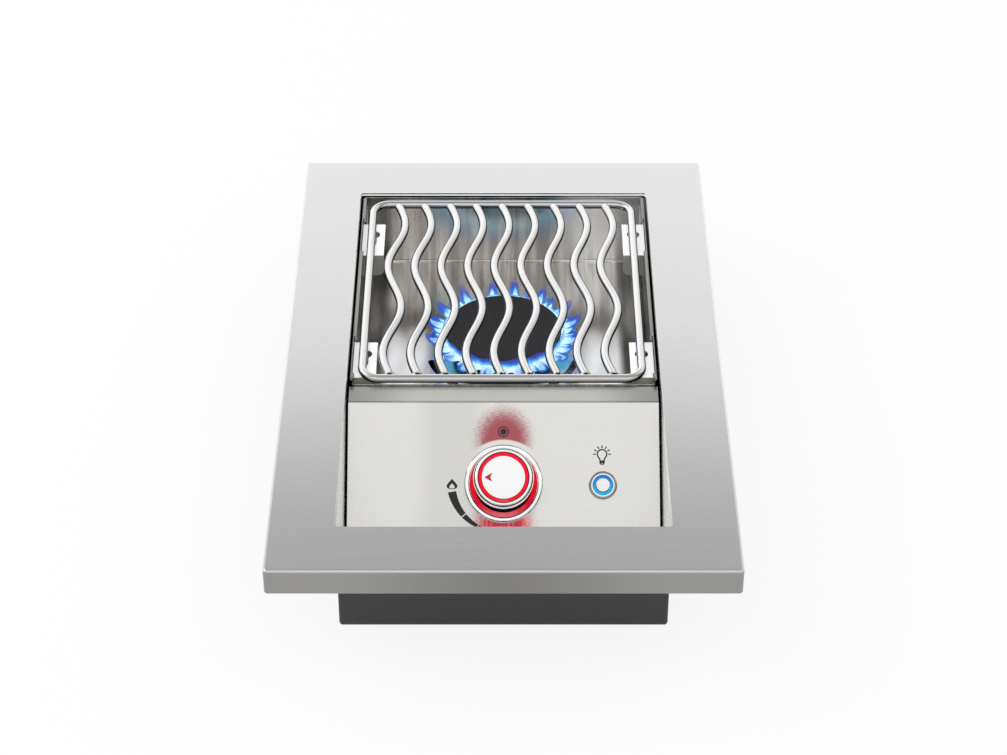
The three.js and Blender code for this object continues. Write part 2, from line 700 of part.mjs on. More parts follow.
function burnerPan() {
  const wallTop = TOTAL_HEIGHT - PAN_WALL_DROP;
  const frontTop = TOTAL_HEIGHT - PAN_FRONT_DROP;
  const innerX = PAN_X - PAN_SHEET;
  const backScrews = [-1, 1].map((side) =>
    alongY(rod(SCREW_RADIUS + SCREW_CLEARANCE, -OVERRUN, OVERRUN, SMALL))
      .translate(side * BACK_SCREW_SPREAD, PAN_FRONT + PAN_SHEET / 2, backScrewZ));
  return cut(
    box(-PAN_X, PAN_X, PAN_FRONT, PAN_BACK, PAN_UNDERSIDE, wallTop),
    box(-innerX, innerX, PAN_FRONT + PAN_SHEET, PAN_BACK - PAN_SHEET, PAN_FLOOR, wallTop + OVERRUN),
    box(-innerX, innerX, PAN_FRONT - OVERRUN, PAN_FRONT + OVERRUN, frontTop, wallTop + OVERRUN),
    rod(SPIGOT_RADIUS + SCREW_CLEARANCE, PAN_UNDERSIDE - OVERRUN, PAN_FLOOR + OVERRUN)
      .translate(0, BURNER_Y, 0),
    floorHole(SCREW_RADIUS + SCREW_CLEARANCE, -BURNER_SCREW_PLACE, BURNER_Y),
    floorHole(SCREW_RADIUS + SCREW_CLEARANCE, BURNER_SCREW_PLACE, BURNER_Y),
    floorHole(INSULATOR_RADIUS + SCREW_CLEARANCE, igniterX, igniterY),
    airSlot(-90),
    airSlot(90),
    ...backScrews,
  );
}

add('burner_pan', burnerPan(), sheetSteel);

// Two Z section rails carry the pan on the housing floor.
function panRail(side) {
  const web = PAN_X - RAIL_INSET;
  const top = PAN_UNDERSIDE - SEAT - RAIL_SHEET;
  const folds = [
    new THREE.Vector2(web - RAIL_FLANGE, FLOOR + SEAT),
    new THREE.Vector2(web, FLOOR + SEAT),
    new THREE.Vector2(web, top),
    new THREE.Vector2(web + RAIL_FLANGE, top),
  ];
  const shape = sheetOutline(folds, -RAIL_SHEET);
  const rail = pulledAlongY(shape, PAN_FRONT + RAIL_END_SETBACK, PAN_BACK - RAIL_END_SETBACK);
  return side > 0 ? rail : weld(rail.scale(-1, 1, 1));
}

// Keyhole bracket: a tab under the grate, a leg down its front and a leg down the pan's wall.
function grateBracket(side, back) {
  const outer = PAN_X - PAN_SHEET - SEAT;
  const inner = outer - BRACKET_WIDTH;
  const front = back - BRACKET_LENGTH;
  const bottom = BRACKET_TOP - BRACKET_LEG;
  const leg = new THREE.Shape();
  leg.moveTo(outer, BRACKET_TOP);
  leg.lineTo(inner, BRACKET_TOP);
  leg.lineTo(inner, bottom + BRACKET_LEG_CORNER);
  for (let k = 1; k <= QUARTER; k += 1) {
    const angle = (Math.PI / 2) * (k / QUARTER);
    const x = inner + BRACKET_LEG_CORNER * (1 - Math.cos(angle));
    leg.lineTo(x, bottom + BRACKET_LEG_CORNER * (1 - Math.sin(angle)));
  }
  leg.lineTo(outer, bottom);
  const holeX = (outer + inner) / 2;
  const holeY = back - KEYHOLE_SETBACK;
  const half = KEYHOLE_SLOT_WIDTH / 2;
  const [low, high] = [BRACKET_TOP - BRACKET_SHEET - OVERRUN, BRACKET_TOP + OVERRUN];
  const bracket = cut(
    join(
      box(inner, outer, front, back, BRACKET_TOP - BRACKET_SHEET, BRACKET_TOP),
      pulledAlongY(leg, front, front + BRACKET_SHEET),
      box(outer - BRACKET_SHEET, outer, front, back, bottom, BRACKET_TOP),
    ),
    rod(KEYHOLE_RADIUS, low, high).translate(holeX, holeY, 0),
    box(holeX - half, holeX + half, holeY - KEYHOLE_SLOT_LENGTH, holeY, low, high),
  );
  return side > 0 ? bracket : weld(bracket.scale(-1, 1, 1));
}

const panInnerBack = PAN_BACK - PAN_SHEET;
const panInnerFront = PAN_FRONT + PAN_SHEET;
const rearBracket = panInnerBack - BRACKET_REAR_SETBACK;
const frontBracket = panInnerFront + BRACKET_FRONT_SETBACK + BRACKET_LENGTH;
for (const [side, hand] of [[-1, 'left'], [1, 'right']]) {
  add(`pan_rail_${hand}`, panRail(side), sheetSteel);
  add(`bracket_rear_${hand}`, grateBracket(side, rearBracket), brightSteel);
  add(`bracket_front_${hand}`, grateBracket(side, frontBracket), brightSteel);
}

// Cooking grate: a rod rectangle and nine wavy rods welded between its front and back.
function cookingGrate() {
  const [halfX, halfY] = [GRATE_WIDTH / 2, GRATE_LENGTH / 2];
  const loop = [];
  for (const [signX, signY, start] of [[1, 1, 0], [-1, 1, 1], [-1, -1, 2], [1, -1, 3]]) {
    for (let k = 0; k <= QUARTER; k += 1) {
      const angle = (Math.PI / 2) * (start + k / QUARTER);
      const x = signX * (halfX - GRATE_CORNER) + GRATE_CORNER * Math.cos(angle);
      const y = signY * (halfY - GRATE_CORNER) + GRATE_CORNER * Math.sin(angle);
      loop.push(new THREE.Vector3(x, y, 0));
    }
  }
  const bars = [barAlong(loop, ROD_RADIUS, ROD_SIDES, true)];
  const pitch = GRATE_WIDTH / (WAVE_RODS + 1);
  const reach = halfY - ROD_RADIUS / 2;
  const span = GRATE_LENGTH - 2 * ROD_RADIUS;
  for (let i = 1; i <= WAVE_RODS; i += 1) {
    const middle = i * pitch - halfX;
    const route = [];
    for (let k = 0; k <= WAVE_STEPS; k += 1) {
      const y = reach - (2 * reach * k) / WAVE_STEPS;
      const phase = (2 * Math.PI * WAVES * (span / 2 - y)) / span;
      const swing = Math.abs(y) < span / 2 ? WAVE_HEIGHT * Math.sin(phase) : 0;
      route.push(new THREE.Vector3(middle + swing, y, 0));
    }
    bars.push(barAlong(route, ROD_RADIUS, ROD_SIDES));
  }
  return join(...bars).translate(0, BURNER_Y, ROD_HEIGHT);
}

add('cooking_grate', cookingGrate(), brightSteel);

// Burner: base, flame ring and cap
function burnerBase() {
  const floorTop = BASE_BOTTOM + BASE_FLOOR;
  const outline = [
    [THROAT_RADIUS, BASE_BOTTOM - SPIGOT_LENGTH],
    [SPIGOT_RADIUS, BASE_BOTTOM - SPIGOT_LENGTH],
    [SPIGOT_RADIUS, BASE_BOTTOM],
    [BASE_FOOT_RADIUS, BASE_BOTTOM],
    [RING_RADIUS - BASE_LIP, BASE_TOP - 2 * BASE_LIP],
    [RING_RADIUS, BASE_TOP],
    [RING_RADIUS - RING_WALL, BASE_TOP],
    [RING_RADIUS - RING_WALL - BASE_LIP, BASE_TOP - BASE_LIP],
    [BASE_FOOT_RADIUS, floorTop],
    [SPIGOT_RADIUS + BASE_LIP, floorTop],
    [THROAT_RADIUS, floorTop - BASE_LIP],
  ];
  const holes = [-1, 1].map((side) =>
    rod(SCREW_RADIUS + RUNNING_GAP, BASE_BOTTOM - OVERRUN, BASE_BOTTOM + SCREW_BITE + SEAT, SMALL)
      .translate(side * BURNER_SCREW_PLACE, 0, 0));
  return cut(turned(outline, FINE), ...holes).translate(0, BURNER_Y, 0);
}

function flameRing() {
  const inner = RING_RADIUS - RING_WALL;
  const ports = [];
  for (let i = 0; i < PORTS / 2; i += 1) {
    const notch = box(
      -RING_RADIUS - OVERRUN, RING_RADIUS + OVERRUN,
      -PORT_WIDTH / 2, PORT_WIDTH / 2,
      RING_TOP - PORT_DEPTH, RING_TOP + OVERRUN);
    ports.push(notch.rotateZ((Math.PI * (2 * i + 1)) / PORTS));
  }
  return cut(ring(inner, RING_RADIUS, RING_BOTTOM, RING_TOP, FINE), ...ports).translate(0, BURNER_Y, 0);
}

function burnerCap() {
  const rimOuter = RING_RADIUS - RING_WALL - RUNNING_GAP;
  const top = CAP_BOTTOM + CAP_THICKNESS;
  const outline = [
    [0, CAP_BOTTOM],
    [rimOuter - CAP_RIM_THICKNESS, CAP_BOTTOM],
    [rimOuter - CAP_RIM_THICKNESS, CAP_BOTTOM - CAP_RIM_DEPTH],
    [rimOuter, CAP_BOTTOM - CAP_RIM_DEPTH],
    [rimOuter, CAP_BOTTOM],
    [CAP_RADIUS - CAP_EDGE / 2, CAP_BOTTOM],
    [CAP_RADIUS, CAP_BOTTOM + CAP_EDGE / 2],
    [CAP_RADIUS, top - 2 * CAP_EDGE],
    [CAP_RADIUS - CAP_EDGE, top - CAP_EDGE / 2],
    [CAP_RADIUS - 3 * CAP_EDGE, top],
    [0, top],
  ];
  return turned(outline, FINE).translate(0, BURNER_Y, 0);
}

add('burner_base', burnerBase(), castAluminium);
add('burner_flame_ring', flameRing(), brass);
add('burner_cap', burnerCap(), blackEnamel);
for (const [side, hand] of [[-1, 'left'], [1, 'right']]) {
  const head = PAN_UNDERSIDE - SEAT - SCREW_HEAD_HEIGHT;
  const burnerScrew = screw(head, SCREW_HEAD_HEIGHT, BASE_BOTTOM + SCREW_BITE);
  add(`burner_screw_${hand}`, burnerScrew.translate(side * BURNER_SCREW_PLACE, BURNER_Y, 0), brightSteel);
}

// Mixer tube with its elbow up to the burner, and the air shutter round its front end
const mixerBore = MIXER_RADIUS - MIXER_WALL;
const windowY = MIXER_FRONT + SHUTTER_SETBACK + SHUTTER_LENGTH / 2;

function airWindow() {
  const reach = MIXER_RADIUS + SHUTTER_TAB;
  const half = WINDOW_LENGTH / 2;
  return box(-reach, reach, windowY - half, windowY + half, -WINDOW_HEIGHT / 2, WINDOW_HEIGHT / 2);
}

function mixerTube() {
  const neckBottom = -MIXER_RADIUS;
  const neckTop = NECK_TOP - MIXER_HEIGHT;
  const length = BURNER_Y - MIXER_FRONT;
  return cut(
    join(
      alongY(rod(MIXER_RADIUS, 0, length)).translate(0, MIXER_FRONT, 0),
      rod(NECK_RADIUS, neckBottom, neckTop).translate(0, BURNER_Y, 0),
    ),
    alongY(rod(mixerBore, -OVERRUN, length)).translate(0, MIXER_FRONT, 0),
    rod(NECK_INNER, neckBottom + MIXER_WALL, neckTop + OVERRUN).translate(0, BURNER_Y, 0),
    airWindow(),
  ).translate(0, 0, MIXER_HEIGHT);
}

function airShutter() {
  const inner = MIXER_RADIUS + RUNNING_GAP;
  const outer = inner + SHUTTER_WALL;
  const start = MIXER_FRONT + SHUTTER_SETBACK;
  const end = start + SHUTTER_LENGTH;
  const sleeve = alongY(ring(inner, outer, 0, SHUTTER_LENGTH)).translate(0, start, 0);
  const tab = box(
    outer - SHUTTER_WALL / 2, outer + SHUTTER_TAB, end - SHUTTER_TAB_WIDTH, end - SHUTTER_WALL,
    -SHUTTER_WALL / 2, SHUTTER_WALL / 2);
  return join(cut(sleeve, airWindow()), tab).translate(0, 0, MIXER_HEIGHT);
}

// Jet bracket: an upright plate on the floor with a foot, holding the jet in front of the mixer tube.
const jetFace = MIXER_FRONT - JET_GAP;

function orificeBracket() {
  const half = HOLDER_WIDTH / 2;
  const top = MIXER_HEIGHT + HOLDER_RISE;
  const folds = [
    new THREE.Vector2(jetFace - HOLDER_FOOT, FLOOR + SEAT),
    new THREE.Vector2(jetFace, FLOOR + SEAT),
    new THREE.Vector2(jetFace, top),
  ];
  const plate = pulledAlongX(sheetOutline(folds, -HOLDER_SHEET), -half, half);
  const hole = alongY(rod(JET_RADIUS + RUNNING_GAP, -OVERRUN, OVERRUN, SMALL));
  return cut(plate, hole.translate(0, jetFace - HOLDER_SHEET / 2, MIXER_HEIGHT));
}

function orificeJet() {
  const back = -HOLDER_SHEET - SEAT;
  const outline = [
    [0, back - JET_LENGTH],
    [JET_HEX / 2, back - JET_LENGTH],
    [JET_HEX / 2, back],
    [JET_RADIUS, back],
    [JET_RADIUS, SEAT],
    [JET_NOZZLE_RADIUS, JET_NOZZLE],
    [0, JET_NOZZLE],
  ];
  const bore = rod(JET_BORE, back - JET_LENGTH - OVERRUN, JET_NOZZLE + OVERRUN, SMALL);
  return alongY(cut(turned(outline, SMALL), bore)).translate(0, jetFace, MIXER_HEIGHT);
}

add('mixer_tube', mixerTube(), castAluminium);
add('air_shutter', airShutter(), sheetSteel);
add('orifice_bracket', orificeBracket(), sheetSteel);
add('orifice_jet', orificeJet(), brass);

// Control panel: back flange, ledge, slope and foot in one sheet, with flanges down its sides
const buttonSpot = [BUTTON_PLACE_ACROSS, BUTTON_PLACE_DOWN];

function controlPanel() {
  const folds = [
    new THREE.Vector2(LEDGE_BACK, LEDGE_HEIGHT - PANEL_BACK_FLANGE),
    new THREE.Vector2(LEDGE_BACK, LEDGE_HEIGHT),
    new THREE.Vector2(FOLD_Y, LEDGE_HEIGHT),
    new THREE.Vector2(SLOPE_END_Y, FOOT_HEIGHT),
    new THREE.Vector2(SLOPE_END_Y - PANEL_FOOT, FOOT_HEIGHT),
  ];
  const sheet = pulledAlongX(sheetOutline(folds, -PANEL_SHEET), -PANEL_X, PANEL_X);
  const sideFlanges = [-1, 1].map((side) => {
    const [x0, x1] = side > 0 ? [PANEL_X - PANEL_SHEET, PANEL_X] : [-PANEL_X, -PANEL_X + PANEL_SHEET];
    const end = PANEL_SIDE_START + PANEL_SIDE_LENGTH;
    const deep = -PANEL_SHEET - PANEL_SIDE_FLANGE;
    const flange = box(x0, x1, -end, -PANEL_SIDE_START, deep, -PANEL_SHEET / 2);
    return flange.applyMatrix4(onPanel.matrix);
  });
  const through = (radius, x, down, segments) =>
    rod(radius, -PANEL_SHEET - OVERRUN, OVERRUN, segments)
      .translate(x, -down, 0)
      .applyMatrix4(onPanel.matrix);
  const footHoles = [-1, 1].map((side) =>
    rod(SCREW_RADIUS + SCREW_CLEARANCE, 0, FOOT_HEIGHT + OVERRUN, SMALL)
      .translate(side * FOOT_SCREW_SPREAD, footScrewY, 0));
  const backHoles = [-1, 1].map((side) =>
    alongY(rod(SCREW_RADIUS + SCREW_CLEARANCE, -OVERRUN, OVERRUN, SMALL))
      .translate(side * BACK_SCREW_SPREAD, LEDGE_BACK - PANEL_SHEET / 2, backScrewZ));
  return cut(
    join(sheet, ...sideFlanges),
    through(STEM_HOLE, 0, KNOB_PLACE, ROUND),
    through(SCREW_RADIUS + SCREW_CLEARANCE, -VALVE_SCREW_PLACE, KNOB_PLACE, SMALL),
    through(SCREW_RADIUS + SCREW_CLEARANCE, VALVE_SCREW_PLACE, KNOB_PLACE, SMALL),
    through(BARREL_RADIUS + RUNNING_GAP, ...buttonSpot, ROUND),
    ...footHoles,
    ...backHoles,
  );
}

add('control_panel', controlPanel(), brushedSteel);
for (const [side, hand] of [[-1, 'left'], [1, 'right']]) {
  const foot = screw(FOOT_HEIGHT + SEAT + SCREW_HEAD_HEIGHT, SCREW_HEAD_HEIGHT, FLOOR / 4);
  add(`foot_screw_${hand}`, foot.translate(side * FOOT_SCREW_SPREAD, footScrewY, 0), brightSteel);
  const headTop = PAN_SHEET + SEAT + SCREW_HEAD_HEIGHT;
  const back = screw(headTop, SCREW_HEAD_HEIGHT, -SEAT - PANEL_SHEET - SCREW_BITE);
  const spot = [side * BACK_SCREW_SPREAD, PAN_FRONT, backScrewZ];
  add(`panel_screw_${hand}`, alongY(back).translate(...spot), brightSteel);
}

// Everything on the knob's axis, in the panel's frame
const onKnob = new THREE.Group();
onKnob.position.set(0, -KNOB_PLACE, 0);
onPanel.add(onKnob);
const bezelFloor = SEAT + BEZEL_FLOOR;
const valveFace = -PANEL_SHEET - SEAT;
const flangeBack = valveFace - VALVE_FLANGE_THICKNESS;
const blockFace = flangeBack - BONNET_LENGTH;
const blockEnd = blockFace - BLOCK_LENGTH;
const springRoomEnd = valveFace - SPRING_ROOM_DEPTH;
const shoulderBottom = -STEM_SHOULDER_TOP - STEM_SHOULDER_HEIGHT;
const washerTop = shoulderBottom - SEAT;
const washerBottom = washerTop - WASHER_THICKNESS;

// The knob's D shaped shaft outline, as a rod with one flat on its upper side
function shaft(radius, flat, z0, z1) {
  const clear = radius + OVERRUN;
  const rest = box(-clear, clear, flat, clear, z0 - OVERRUN, z1 + OVERRUN);
  return cut(rod(radius, z0, z1), rest);
}

function knobBezel() {
  const top = SEAT + BEZEL_HEIGHT;
  const outline = [
    [BEZEL_HOLE, SEAT],
    [BEZEL_RADIUS, SEAT],
    [BEZEL_RADIUS, top - BEZEL_RIM_BEVEL],
    [BEZEL_RADIUS - BEZEL_RIM_BEVEL, top],
    [BEZEL_RADIUS - BEZEL_RIM + BEZEL_RIM_BEVEL / 2, top],
    [BEZEL_RADIUS - BEZEL_RIM, bezelFloor],
    [BEZEL_HOLE, bezelFloor],
  ];
  const holes = [-1, 1].map((side) =>
    rod(SCREW_RADIUS + SCREW_CLEARANCE, 0, bezelFloor + OVERRUN, SMALL)
      .translate(side * VALVE_SCREW_PLACE, 0, 0));
  return cut(turned(outline, FINE), ...holes);
}

function controlKnob() {
  const recessFloor = KNOB_TOP - FACE_RECESS_DEPTH;
  const roof = recessFloor - KNOB_WALL;
  const wallInner = KNOB_RADIUS - KNOB_WALL;
  const rimTop = KNOB_RADIUS - KNOB_TAPER;
  const outline = [
    [0, roof],
    [wallInner - KNOB_TAPER, roof],
    [wallInner, KNOB_BOTTOM],
    [KNOB_RADIUS, KNOB_BOTTOM],
    [rimTop, KNOB_TOP - KNOB_EDGE],
  ];
  for (let k = 1; k <= QUARTER; k += 1) {
    const angle = (Math.PI / 2) * (k / QUARTER);
    const inset = KNOB_EDGE * (1 - Math.cos(angle));
    outline.push([rimTop - inset, KNOB_TOP - KNOB_EDGE * (1 - Math.sin(angle))]);
  }
  outline.push([FACE_RECESS_RADIUS, KNOB_TOP], [FACE_RECESS_RADIUS, recessFloor], [0, recessFloor]);
  const hub = rod(KNOB_HUB, KNOB_BOTTOM, roof + KNOB_WALL / 2);
  const boreRadius = STEM_RADIUS + RUNNING_GAP;
  const boreFlat = STEM_FLAT + RUNNING_GAP;
  const bore = shaft(boreRadius, boreFlat, KNOB_BOTTOM - OVERRUN, STEM_TOP + SEAT);
  return cut(join(turned(outline, FINE), hub), bore);
}

function knobFace() {
  const bottom = KNOB_TOP - FACE_RECESS_DEPTH + SEAT;
  const top = bottom + FACE_THICKNESS;
  const outline = [[0, bottom], [FACE_RADIUS, bottom], [FACE_RADIUS, top]];
  for (let k = 1; k < QUARTER; k += 1) {
    const share = k / QUARTER;
    outline.push([FACE_RADIUS * (1 - share), top + FACE_DOME * (1 - (1 - share) ** 2)]);
  }
  outline.push([0, top + FACE_DOME]);
  return turned(outline, FINE);
}

function valveStem() {
  const round = rod(STEM_RADIUS, -STEM_TAIL, -STEM_SHOULDER_TOP);
  const shoulder = rod(STEM_SHOULDER_RADIUS, shoulderBottom, -STEM_SHOULDER_TOP);
  return join(round, shoulder, shaft(STEM_RADIUS, STEM_FLAT, -STEM_SHOULDER_TOP - SEAT, STEM_TOP));
}

function gasValve() {
  const halfFlange = VALVE_FLANGE_WIDTH / 2;
  const halfDepth = VALVE_FLANGE_DEPTH / 2;
  const halfBlock = BLOCK_WIDTH / 2;
  const inletZ = -INLET_DEPTH;
  const body = join(
    box(-halfFlange, halfFlange, -halfDepth, halfDepth, flangeBack, valveFace),
    rod(BONNET_RADIUS, blockFace - OVERRUN, flangeBack + VALVE_FLANGE_THICKNESS / 2),
    box(-halfBlock, halfBlock, -halfBlock, halfBlock, blockEnd, blockFace),
    alongMinusX(rod(INLET_BOSS_RADIUS, halfBlock - OVERRUN, halfBlock + INLET_BOSS_LENGTH, ROUND))
      .translate(0, 0, inletZ),
  );
  const stemEnd = -STEM_TAIL - KNOB_TRAVEL - SEAT;
  const screwHoles = [-1, 1].map((side) =>
    rod(SCREW_RADIUS + RUNNING_GAP, flangeBack - SCREW_BITE, valveFace + OVERRUN, SMALL)
      .translate(side * VALVE_SCREW_PLACE, 0, 0));
  return cut(
    body,
    rod(SPRING_ROOM_RADIUS, springRoomEnd, valveFace + OVERRUN),
    rod(STEM_RADIUS + RUNNING_GAP, stemEnd, valveFace + OVERRUN),
    rod(OUTLET_BORE, blockEnd - OVERRUN, inletZ, SMALL),
    alongMinusX(rod(INLET_BORE, 0, halfBlock + INLET_BOSS_LENGTH + OVERRUN, SMALL))
      .translate(0, 0, inletZ),
    ...screwHoles,
  );
}

// The spring's coils, from the floor of its room up to the washer
function returnSpring() {
  const radius = SPRING_ROOM_RADIUS - SPRING_WIRE - 2 * SEAT;
  const bottom = springRoomEnd + SEAT + SPRING_WIRE;
  const top = washerBottom - SEAT - SPRING_WIRE;
  const route = [];
  for (let k = 0; k <= SPRING_TURNS * SPRING_STEPS; k += 1) {
    const angle = (2 * Math.PI * k) / SPRING_STEPS;
    const height = bottom + ((top - bottom) * k) / (SPRING_TURNS * SPRING_STEPS);
    route.push(new THREE.Vector3(radius * Math.cos(angle), radius * Math.sin(angle), height));
  }
  const leastGap = (top - bottom) / SPRING_TURNS - 2 * SPRING_WIRE;
  console.log('spring gap between turns', leastGap.toFixed(2));
  return barAlong(route, SPRING_WIRE, SPRING_SIDES);
}

const lightRingBottom = bezelFloor + SEAT;
const lightRingOuter = BEZEL_RADIUS - BEZEL_RIM - SEAT;
const faceRingBottom = KNOB_TOP - FACE_RECESS_DEPTH + SEAT;
add('knob_bezel', knobBezel(), chrome, onKnob);
add('bezel_light_ring',
  ring(LIGHT_RING_INNER, lightRingOuter, lightRingBottom, lightRingBottom + LIGHT_RING_THICKNESS, FINE),
  redLight, onKnob);
add('control_knob', controlKnob(), chrome, onKnob);
add('knob_light_ring',
  ring(FACE_RING_INNER, FACE_RING_OUTER, faceRingBottom, faceRingBottom + FACE_RING_THICKNESS, FINE),
  redLight, onKnob);
add('knob_face', knobFace(), brightSteel, onKnob);
add('valve_stem', valveStem(), brightSteel, onKnob);
add('thrust_washer',
  ring(STEM_RADIUS + RUNNING_GAP, WASHER_RADIUS, washerBottom, washerTop),
  brightSteel, onKnob);
add('valve_return_spring', returnSpring(), springSteel, onKnob);
add('gas_valve', gasValve(), brass, onKnob);
for (const [side, hand] of [[-1, 'left'], [1, 'right']]) {
  const headTop = bezelFloor + SEAT + SCREW_HEAD_HEIGHT;
  const valveScrew = screw(headTop, SCREW_HEAD_HEIGHT, flangeBack - SEAT);
  add(`valve_screw_${hand}`, valveScrew.translate(side * VALVE_SCREW_PLACE, 0, 0), brightSteel, onKnob);
}

// The switch on the valve's right side that starts the spark when the stem goes in
const switchFace = BLOCK_WIDTH / 2 + SEAT;
const switchBody = box(
  switchFace, switchFace + SWITCH_WIDTH, -SWITCH_LENGTH / 2, SWITCH_LENGTH / 2,
  -SWITCH_DEPTH - SWITCH_HEIGHT, -SWITCH_DEPTH);
const switchNub = box(
  switchFace + SWITCH_NUB, switchFace + SWITCH_WIDTH - SWITCH_NUB, -SWITCH_NUB, SWITCH_NUB,
  -SWITCH_DEPTH - SWITCH_NUB, -SWITCH_DEPTH + SWITCH_NUB);
add('ignition_switch', join(switchBody, switchNub), blackPlastic, onKnob);

// Gas tubes
function feedTube() {
  const start = panelPlace(0, KNOB_PLACE, blockEnd - SEAT);
  const end = new THREE.Vector3(0, jetFace - HOLDER_SHEET - SEAT - JET_LENGTH - SEAT, MIXER_HEIGHT);
  const reach = start.distanceTo(end) / 2;
  const leaving = start.clone().addScaledVector(outOfPanel, -reach);
  const arriving = end.clone().setY(end.y - reach);
  const bend = new THREE.CubicBezierCurve3(start, leaving, arriving, end);
  return barAlong(bend.getPoints(FEED_STEPS), FEED_RADIUS, SUPPLY_SIDES);
}

function supplyTube() {
  const bossEnd = BLOCK_WIDTH / 2 + INLET_BOSS_LENGTH + SEAT;
  const start = panelPlace(-bossEnd, KNOB_PLACE, -INLET_DEPTH);
  const aside = start.clone().setX(start.x - SUPPLY_RUN_OUT);
  const down = new THREE.Vector3(-INLET_PLACE, start.y + SUPPLY_RUN_OUT, INLET_HEIGHT);
  const end = new THREE.Vector3(-INLET_PLACE, FITTING_START - SEAT, INLET_HEIGHT);
  return barAlong(roundedRoute([start, aside, down, end], SUPPLY_BEND), SUPPLY_RADIUS, SUPPLY_SIDES);
}

function inletFitting() {
  const hexStart = FITTING_HEX_FACE - FITTING_HEX_LENGTH;
  const end = FITTING_HEX_FACE + FITTING_THREAD_LENGTH;
  const body = join(
    rod(FITTING_NECK_RADIUS, FITTING_START, hexStart + OVERRUN),
    hexNut(FITTING_HEX, 0, hexStart, FITTING_HEX_FACE),
    rod(FITTING_THREAD_RADIUS, FITTING_HEX_FACE - OVERRUN, end),
  );
  const bore = rod(FITTING_BORE, end - FITTING_BORE_DEPTH, end + OVERRUN, SMALL);
  return alongY(cut(body, bore)).translate(-INLET_PLACE, 0, INLET_HEIGHT);
}

function inletLocknut() {
  const start = HOUSING_Y + SEAT;
  const nut = hexNut(LOCKNUT_FLATS, FITTING_THREAD_RADIUS + RUNNING_GAP, start, start + LOCKNUT_HEIGHT);
  return alongY(nut).translate(-INLET_PLACE, 0, INLET_HEIGHT);
}

add('gas_feed_tube', feedTube(), castAluminium);
add('supply_tube', supplyTube(), castAluminium);
add('gas_inlet_fitting', inletFitting(), brass);
add('inlet_locknut', inletLocknut(), brass);

// Igniter: ceramic insulator in the pan, its pin, the clip under the pan and the lead to the module
const moduleBack = PAN_FRONT - MODULE_GAP_TO_PAN;
const pinBottom = PAN_UNDERSIDE - INSULATOR_DROP - PIN_TAIL;

function igniterInsulator() {
  const bottom = PAN_UNDERSIDE - INSULATOR_DROP;
  const collar = PAN_FLOOR + SEAT;
  const bore = PIN_RADIUS + RUNNING_GAP;
  const outline = [
    [bore, bottom],
    [INSULATOR_RADIUS, bottom],
    [INSULATOR_RADIUS, collar],
    [INSULATOR_COLLAR, collar],
    [INSULATOR_COLLAR, collar + INSULATOR_COLLAR_HEIGHT],
    [INSULATOR_RADIUS, collar + INSULATOR_COLLAR_HEIGHT],
    [INSULATOR_RADIUS, collar + INSULATOR_RISE],
    [bore, collar + INSULATOR_RISE],
  ];
  return turned(outline, SMALL).translate(igniterX, igniterY, 0);
}

function igniterPin() {
  const top = PAN_FLOOR + PIN_RISE;
  const inward = new THREE.Vector3(-Math.cos(igniterAngle), -Math.sin(igniterAngle), 0);
  const corner = new THREE.Vector3(igniterX, igniterY, top);
  const tip = corner.clone().addScaledVector(inward, PIN_REACH);
  const route = [corner.clone().setZ(pinBottom), corner, tip];
  return barAlong(roundedRoute(route, PIN_BEND), PIN_RADIUS, PIN_SIDES);
}

function electrodeClip() {
  const top = PAN_UNDERSIDE - SEAT;
  return ring(INSULATOR_RADIUS + RUNNING_GAP, CLIP_RADIUS, top - CLIP_THICKNESS, top, SMALL)
    .translate(igniterX, igniterY, 0);
}

function electrodeLead() {
  const moduleEnd = new THREE.Vector3(LEAD_PLACE, moduleBack + SEAT, LEAD_HEIGHT);
  const start = new THREE.Vector3(igniterX, igniterY, pinBottom - SEAT);
  const below = start.clone().setZ(LEAD_HEIGHT);
  const turn = new THREE.Vector3(LEAD_PLACE, igniterY, LEAD_HEIGHT);
  const drop = roundedRoute([start, below, turn], (start.z - LEAD_HEIGHT) / 2);
  const run = roundedRoute([drop[drop.length - 2], turn, moduleEnd], LEAD_BEND);
  return barAlong([...drop.slice(0, -2), ...run], LEAD_RADIUS, LEAD_SIDES);
}

function sparkModule() {
  const [halfX, halfY] = [MODULE_WIDTH / 2, MODULE_LENGTH / 2];
  const shape = new THREE.Shape();
  for (const [signX, signY, start] of [[1, 1, 0], [-1, 1, 1], [-1, -1, 2], [1, -1, 3]]) {
    const x = signX * (halfX - MODULE_CORNER);
    const y = signY * (halfY - MODULE_CORNER);
    shape.absarc(x, y, MODULE_CORNER, (Math.PI / 2) * start, (Math.PI / 2) * (start + 1), false);
  }
  const extrusion = { depth: MODULE_HEIGHT, bevelEnabled: false, curveSegments: 2 };
  const block = weld(new THREE.ExtrudeGeometry(shape, extrusion));
  return block.translate(MODULE_PLACE, moduleBack - halfY, FLOOR + SEAT);
}

add('igniter_insulator', igniterInsulator(), ceramic);
add('igniter_pin', igniterPin(), brightSteel);
add('electrode_clip', electrodeClip(), springSteel);
add('electrode_lead', electrodeLead(), rubber);
add('spark_module', sparkModule(), blackPlastic);

// Battery for the spark and the lights, lying in a tray on the floor
function batteryTray() {
  const back = PAN_FRONT - TRAY_GAP_TO_PAN;
  const length = BATTERY_LENGTH + BATTERY_NUB_LENGTH + 2 * (SEAT + TRAY_WALL);
  const front = back - length;
  const bottom = FLOOR + SEAT;
  const top = bottom + TRAY_HEIGHT;
  const inner = BATTERY_RADIUS + SEAT;
  return cut(
    box(-TRAY_HALF_WIDTH, TRAY_HALF_WIDTH, front, back, bottom, top),
    box(-inner, inner, front + TRAY_WALL, back - TRAY_WALL, bottom + TRAY_WALL, top + OVERRUN),
  ).translate(-TRAY_PLACE, 0, 0);
}

